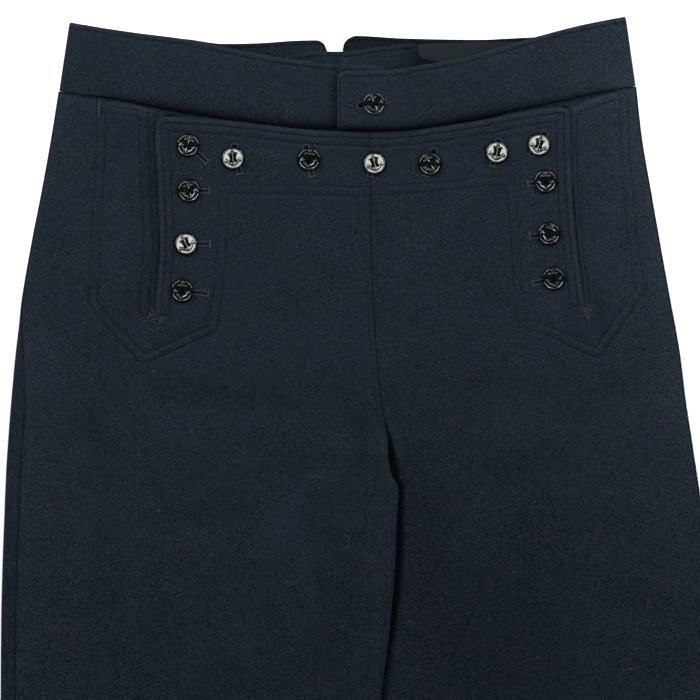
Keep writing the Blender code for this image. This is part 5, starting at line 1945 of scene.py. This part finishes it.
@dataclass(frozen=True)
class WoolFinish:
    """Heavy navy melton with a short felted nap, flecks of lint and pressed rows of sewing, with painted
    shade and painted light.
    """

    name: str
    deep: Colour = (0.0001, 0.0013, 0.0031)
    bloom: Colour = (0.0136, 0.0183, 0.0246)
    fleck: Colour = (0.044, 0.05, 0.056)
    # Painted light: how much brighter the nap is painted where the soft share is below nought
    lit: Colour = (2.1, 1.92, 1.8)
    # The colour of painted shadow along sewn rows and closed lines, round buttons and by the soft share
    gap: Colour = (0.0003, 0.0006, 0.0009)
    violet: Colour = (1.12, 0.96, 1.07)
    green: Colour = (0.88, 1.04, 0.94)
    line_depth: float = 0.25
    # How dark the sewn rows are painted, as shade in their grooves
    line_shade: float = 0.55
    line_mottle: tuple[float, float] = (-0.7, 1.25)
    shaded_grain: float = 1.3
    rougher_between: tuple[float, float] = (0.3, 0.06)
    rougher_by: float = 0.35

    def material(self, nap: Tree, sewn: Tree, painted_shade_tree: Tree) -> Material:
        """The cloth's material, with the nap, the sewn lines and the painted shade and light from their
        groups.
        """
        material, tree, shader = new_material(self.name)
        place = own_place(tree)
        felt = grouped(tree, nap, "Vector", place)
        line = grouped(tree, sewn, "Offsets", stored(tree, "sewn_rows"))["Mask"]
        # Painted shade and painted light, from the mesh's channels
        lie = grouped(tree, painted_shade_tree, "Painted Shade", stored(tree, "painted_shade"))
        level = add_node(tree, "ShaderNodeSeparateXYZ", {0: place}).outputs[1]
        rougher = ramp(tree, level, self.rougher_between, (0.0, self.rougher_by))
        colour = mixed(tree, swing(tree, felt["Tone"], rougher, felt["Tone"]), self.deep, self.bloom)
        tint = mixed(tree, felt["Hue"], self.violet, self.green)
        colour = mixed(tree, 1.0, colour, tint, "MULTIPLY")
        colour = mixed(tree, felt["Fleck"], colour, self.fleck)
        # Painted light where the soft share is below nought
        colour = mixed(tree, lie["Light"], colour, mixed(tree, 1.0, colour, self.lit, "MULTIPLY"))
        # Painted shade along the sewn rows, mottled by the nap
        mottle = maths(tree, "MULTIPLY_ADD", felt["Tone"], *self.line_mottle)
        shade = maths(tree, "MULTIPLY", maths(tree, "MULTIPLY", line, mottle), self.line_shade)
        colour = mixed(tree, shade, colour, self.gap)
        # Painted shade from the mesh's channels, towards the shadow colour, with some grain left in half
        # shade
        dark = lie["Dark"]
        partly = maths(tree, "MULTIPLY", maths(tree, "SUBTRACT", 1.0, dark), dark)
        grain = swing(tree, felt["Tone"], -self.shaded_grain, 0.0)
        colour = mixed(tree, maths(tree, "MULTIPLY_ADD", partly, grain, dark), colour, self.gap)
        tree.links.new(colour, shader.inputs["Base Color"])
        bumped(tree, shader, maths(tree, "MULTIPLY_ADD", line, -self.line_depth, felt["Height"]), 1.0)
        set_inputs(shader, {"Roughness": 1.0, "Specular IOR Level": 0.03, "Sheen Weight": 0.02})
        set_inputs(shader, {"Sheen Roughness": 0.6, "Sheen Tint": (0.62, 0.74, 0.9, 1.0)})
        return material


@dataclass(frozen=True)
class LiningFinish:
    """Smooth black twill with a satin gloss, and painted shade where the front band covers it."""

    name: str
    base: Colour = (0.0018, 0.0036, 0.0043)
    rib: Colour = (0.0071, 0.0104, 0.0119)
    # The colour of painted shade
    gap: Colour = (0.0003, 0.0005, 0.0006)

    def material(self, twill: Tree, painted_shade_tree: Tree) -> Material:
        """The lining's material, with the ribs and the painted shade from their groups."""
        material, tree, shader = new_material(self.name)
        weave = grouped(tree, twill, "Vector", own_place(tree))
        dark = grouped(tree, painted_shade_tree, "Painted Shade", stored(tree, "painted_shade"))["Dark"]
        colour = mixed(tree, weave["Rib"], self.base, self.rib)
        # Painted shade where the front band covers the lining
        tree.links.new(mixed(tree, dark, colour, self.gap), shader.inputs["Base Color"])
        bumped(tree, shader, weave["Height"], 0.8)
        set_inputs(shader, {"Roughness": 0.6, "Specular IOR Level": 0.06})
        return material


@dataclass(frozen=True)
class ThreadFinish:
    """Twisted sewing thread: a soft gloss and a fine twist across it."""

    name: str
    deep: Colour
    bright: Colour
    gloss: float
    roughness: float
    twist_scale: float = 2600.0

    def material(self) -> Material:
        """The thread's material."""
        material, tree, shader = new_material(self.name)
        twist = noise(tree, own_place(tree), self.twist_scale, 1.0)
        tree.links.new(mixed(tree, twist, self.deep, self.bright), shader.inputs["Base Color"])
        bumped(tree, shader, twist, 0.6, 0.2 * MM)
        set_inputs(shader, {"Roughness": self.roughness, "Specular IOR Level": self.gloss})
        return material


@dataclass(frozen=True)
class PlasticFinish:
    """Polished black plastic with fine scuffs on its raised parts."""

    name: str
    base: Colour = (0.0004, 0.0006, 0.0009)
    polish: float = 0.04
    scuffed: float = 0.09

    def material(self) -> Material:
        """The plastic's material."""
        material, tree, shader = new_material(self.name)
        haze = noise(tree, own_place(tree), 900.0, 3.0)
        rough = ramp(tree, haze, (0.45, 0.75), (self.polish, self.scuffed), smooth=False)
        tree.links.new(rough, shader.inputs["Roughness"])
        cloudy = mixed(tree, haze, self.base, tuple(1.6 * part for part in self.base))
        tree.links.new(cloudy, shader.inputs["Base Color"])
        bumped(tree, shader, haze, 0.06, 0.1 * MM)
        set_inputs(shader, {"IOR": 1.5, "Specular Tint": (0.84, 0.86, 0.79, 1.0)})
        return material


@dataclass
class Studio:
    """A pale floor, soft lamps on the waist's side and a camera straight above."""

    view_centre: tuple[float, float] = (-0.0231, 0.292)
    view_size: float = 0.5215
    camera_height: float = 6.0
    garment_top: float = 0.006
    sensor: float = 36.0
    floor_half: float = 4.0
    far_clip: float = 50.0

    def add_floor(self) -> None:
        """A wide pale floor just under the garment."""
        half = self.floor_half
        corners = [(-half, -half, 0.0), (half, -half, 0.0), (half, half, 0.0), (-half, half, 0.0)]
        mesh = bpy.data.meshes.new("floor")
        mesh.from_pydata(corners, [], [(0, 1, 2, 3)])
        floor = linked("floor", mesh)
        material, _, shader = new_material("pale_floor")
        set_inputs(shader, {"Base Color": (0.93, 0.93, 0.93, 1.0), "Roughness": 0.9})
        set_inputs(shader, {"Specular IOR Level": 0.1})
        mesh.materials.append(material)

    def add_lamp(self, name: str, place: Point, aim: Point, size: tuple[float, float], power: float) -> None:
        """A soft rectangular lamp that faces its aim."""
        lamp = bpy.data.lights.new(name, "AREA")
        lamp.shape = "RECTANGLE"
        lamp.size, lamp.size_y = size
        lamp.energy = power
        holder = linked(name, lamp)
        away = np.array(place) - np.array(aim)
        tilt = math.atan2(math.hypot(away[0], away[1]), away[2])
        holder.location = place
        holder.rotation_euler = (tilt, 0.0, math.atan2(away[0], -away[1]))

    def add_camera(self) -> None:
        """A long lens straight above, with the waist at the top of the picture."""
        camera = bpy.data.cameras.new("camera")
        camera.sensor_width = self.sensor
        camera.lens = self.sensor * (self.camera_height - self.garment_top) / self.view_size
        camera.clip_end = self.far_clip
        holder = linked("camera", camera)
        holder.location = (*self.view_centre, self.camera_height)
        bpy.context.scene.camera = holder

    def build(self) -> None:
        """Place the floor, the lamps, the soft surroundings and the camera."""
        self.add_floor()
        self.add_camera()
        bpy.context.scene.view_settings.view_transform = "Standard"
        self.add_lamp("overhead", (-0.02, 0.66, 1.4), (-0.02, 0.66, 0.0), (0.84, 0.4), 19.6)
        self.add_lamp("window_left", (-0.87, 1.06, 0.5), (-0.02, 0.29, 0.0), (1.1, 0.2), 18.0)
        self.add_lamp("window_right", (0.83, 1.06, 0.5), (-0.02, 0.29, 0.0), (1.1, 0.2), 15.0)
        world = bpy.data.worlds.new("studio")
        world.use_nodes = True
        background = world.node_tree.nodes["Background"]
        background.inputs["Color"].default_value = (0.5, 0.76, 1.0, 1.0)
        background.inputs["Strength"].default_value = 0.2
        bpy.context.scene.world = world


def make_legs() -> tuple[Leg, Leg]:
    """The two legs, right and left."""
    right = Leg(
        Side.RIGHT, RIGHT_LEG, RIGHT_FOLDS, 318.9, RIGHT_SIDE_TOP, RIGHT_FALL_TOP, RIGHT_BACK_TOP,
        SEAM_TURN, (3.6, 8.6), (4.4, 10.2), Unevenness(11), painted_fold_shade=RIGHT_PAINTED_SHADE, lip_stretch=0.72,
        closes_at=378.0,
    )
    left = Leg(
        Side.LEFT, LEFT_LEG, LEFT_FOLDS, 326.3, LEFT_SIDE_TOP, LEFT_FALL_TOP, LEFT_BACK_TOP,
        0.0, (), (4.6, 10.4), Unevenness(12), painted_fold_shade=LEFT_PAINTED_SHADE, side_light=(0.6, 0.5), lip_shade=0.08,
        lip_stretch=1.7, centre_sewn=(330.0, 412.0),
    )
    return right, left


def cloth_pieces(right: Leg, left: Leg) -> list[ClothPiece]:
    """Every wool piece, in the order in which they lie on each other."""
    wool = Slot.WOOL
    pieces: list[ClothPiece] = []
    for leg, name in ((right, "right"), (left, "left")):
        pieces.append(BackLeg(f"back_leg_{name}", CLOTH, wool, (), leg))
    # The last number of each is the share of painted shade over that back band
    for stations, name, ends, depth in (
        (BAND_BACK_RIGHT, "right", (False, True), 0.2),
        (BAND_BACK_LEFT, "left", (True, False), 0.5),
    ):
        node = f"waistband_back_{name}"
        shade = behind_band(depth)
        pieces.append(Strip(node, CLOTH, wool, (), stations, level_face(CLOTH), shade, 3.0, ends))
    backs = ("waistband_back_right", "waistband_back_left")
    over_back = level_face(LAYER + CLOTH)
    pieces.append(Strip("back_gusset", CLOTH, wool, backs, GUSSET, over_back, behind_band(0.02, 2.0), 3.2))
    for stations, name in ((BEARER_RIGHT, "right"), (BEARER_LEFT, "left")):
        rests = (f"back_leg_{name}",)
        pieces.append(Strip(f"bearer_{name}", CLOTH, wool, rests, stations, over_back, bearer_shade))
    for leg, name in ((right, "right"), (left, "left")):
        pieces.append(FrontLeg(f"front_leg_{name}", CLOTH, wool, (f"back_leg_{name}", f"bearer_{name}"), leg))
    for stations, name, over_lap in ((BAND_FRONT_RIGHT, "right", False), (BAND_FRONT_LEFT, "left", True)):
        rests = (f"waistband_back_{name}", f"bearer_{name}")
        pieces.append(
            FrontBand(
                f"waistband_front_{name}", BAND_SHELL, wool, rests, stations, front_band_face(over_lap),
                front_band_shade(over_lap), 3.8, (over_lap, False), roll=(2.6, 1.2), end_roll=(3.2, 1.4),
                steps=(22, 110), unevenness=Unevenness(21, 0.22),
            )
        )
    return pieces


def add_details(pieces: list[ClothPiece], legs: tuple[Leg, Leg]) -> None:
    """Sew the rows, work the buttonholes and tacks, and set the buttons and the lint."""

    def surface(x: Array, y: Array) -> Array:
        """The fronts' outer face."""
        return front_surface(legs, x, y)

    def lap_face(x: Array, y: Array) -> Array:
        """The over lap's outer face at its middle."""
        return front_band_face(True)(np.asarray(x, float), np.full(np.shape(x), 0.57))

    # shadow is the near-black finish of the painted shadow in the buttonholes
    tonal, worked, shadow, button_thread, fluff = (
        ThreadFinish(name, deep, bright, gloss, roughness).material()
        for name, deep, bright, gloss, roughness in (
            ("navy_thread", (0.0008, 0.0015, 0.0024), (0.005, 0.0075, 0.011), 0.05, 0.8),
            ("buttonhole_twist", (0.005, 0.0068, 0.0082), (0.027, 0.032, 0.036), 0.12, 0.6),
            ("slit_shadow_black", (0.0006, 0.0008, 0.001), (0.0016, 0.002, 0.0026), 0.02, 1.0),
            ("black_thread", (0.0008, 0.0008, 0.001), (0.004, 0.0042, 0.0045), 0.05, 0.8),
            ("pale_fluff", (0.03, 0.034, 0.038), (0.2, 0.21, 0.22), 0.05, 1.0),
        )
    )
    plain = [line for leg in legs for line in leg.sewn_lines()]
    plain += [beside(FACING_LINE, sign * FACING_HALF) for sign in (-1.0, 1.0)]
    rows = [set_down(line, surface) for line in plain]
    rows += [piece.sewn_line() for piece in pieces if isinstance(piece, Strip) and piece.row_inset < NO_ROW]
    Sewing().build("sewn_rows", rows, tonal)
    ThreadWork().build(surface, lap_face, worked, shadow)
    plastic = PlasticFinish("black_plastic").material()
    buttons = [AnchorButton(node, pose) for node, pose in BUTTON_POSES.items()]
    for button in buttons:
        button.build(plastic)
    threads = [strand for button in buttons for strand in button.threads()]
    settle_piece(mesh_object("button_threads", *gathered(threads)), button_thread, Slot.WOOL)
    Lint().build(surface, fluff)


def main() -> None:
    """Build the studio and every piece of the trousers, and report them."""
    logging.basicConfig(level=logging.INFO, format="%(message)s")
    Studio().build()
    painted_shade_tree = painted_shade_group()
    wool = WoolFinish("navy_melton").material(nap_group(), sewn_line_group(), painted_shade_tree)
    lining = LiningFinish("black_twill").material(twill_group(), painted_shade_tree)
    right, left = make_legs()
    pieces = cloth_pieces(right, left)
    for piece in pieces:
        piece.build(wool)
    patch = Strip(
        "back_lining", LINING_CLOTH, Slot.LINING, ("waistband_back_left",), LINING_PATCH,
        level_face(LAYER + LINING_CLOTH), behind_band(0.0),
    )
    patch.build(lining)
    add_details(pieces, (right, left))


if __name__ == "__main__":
    main()
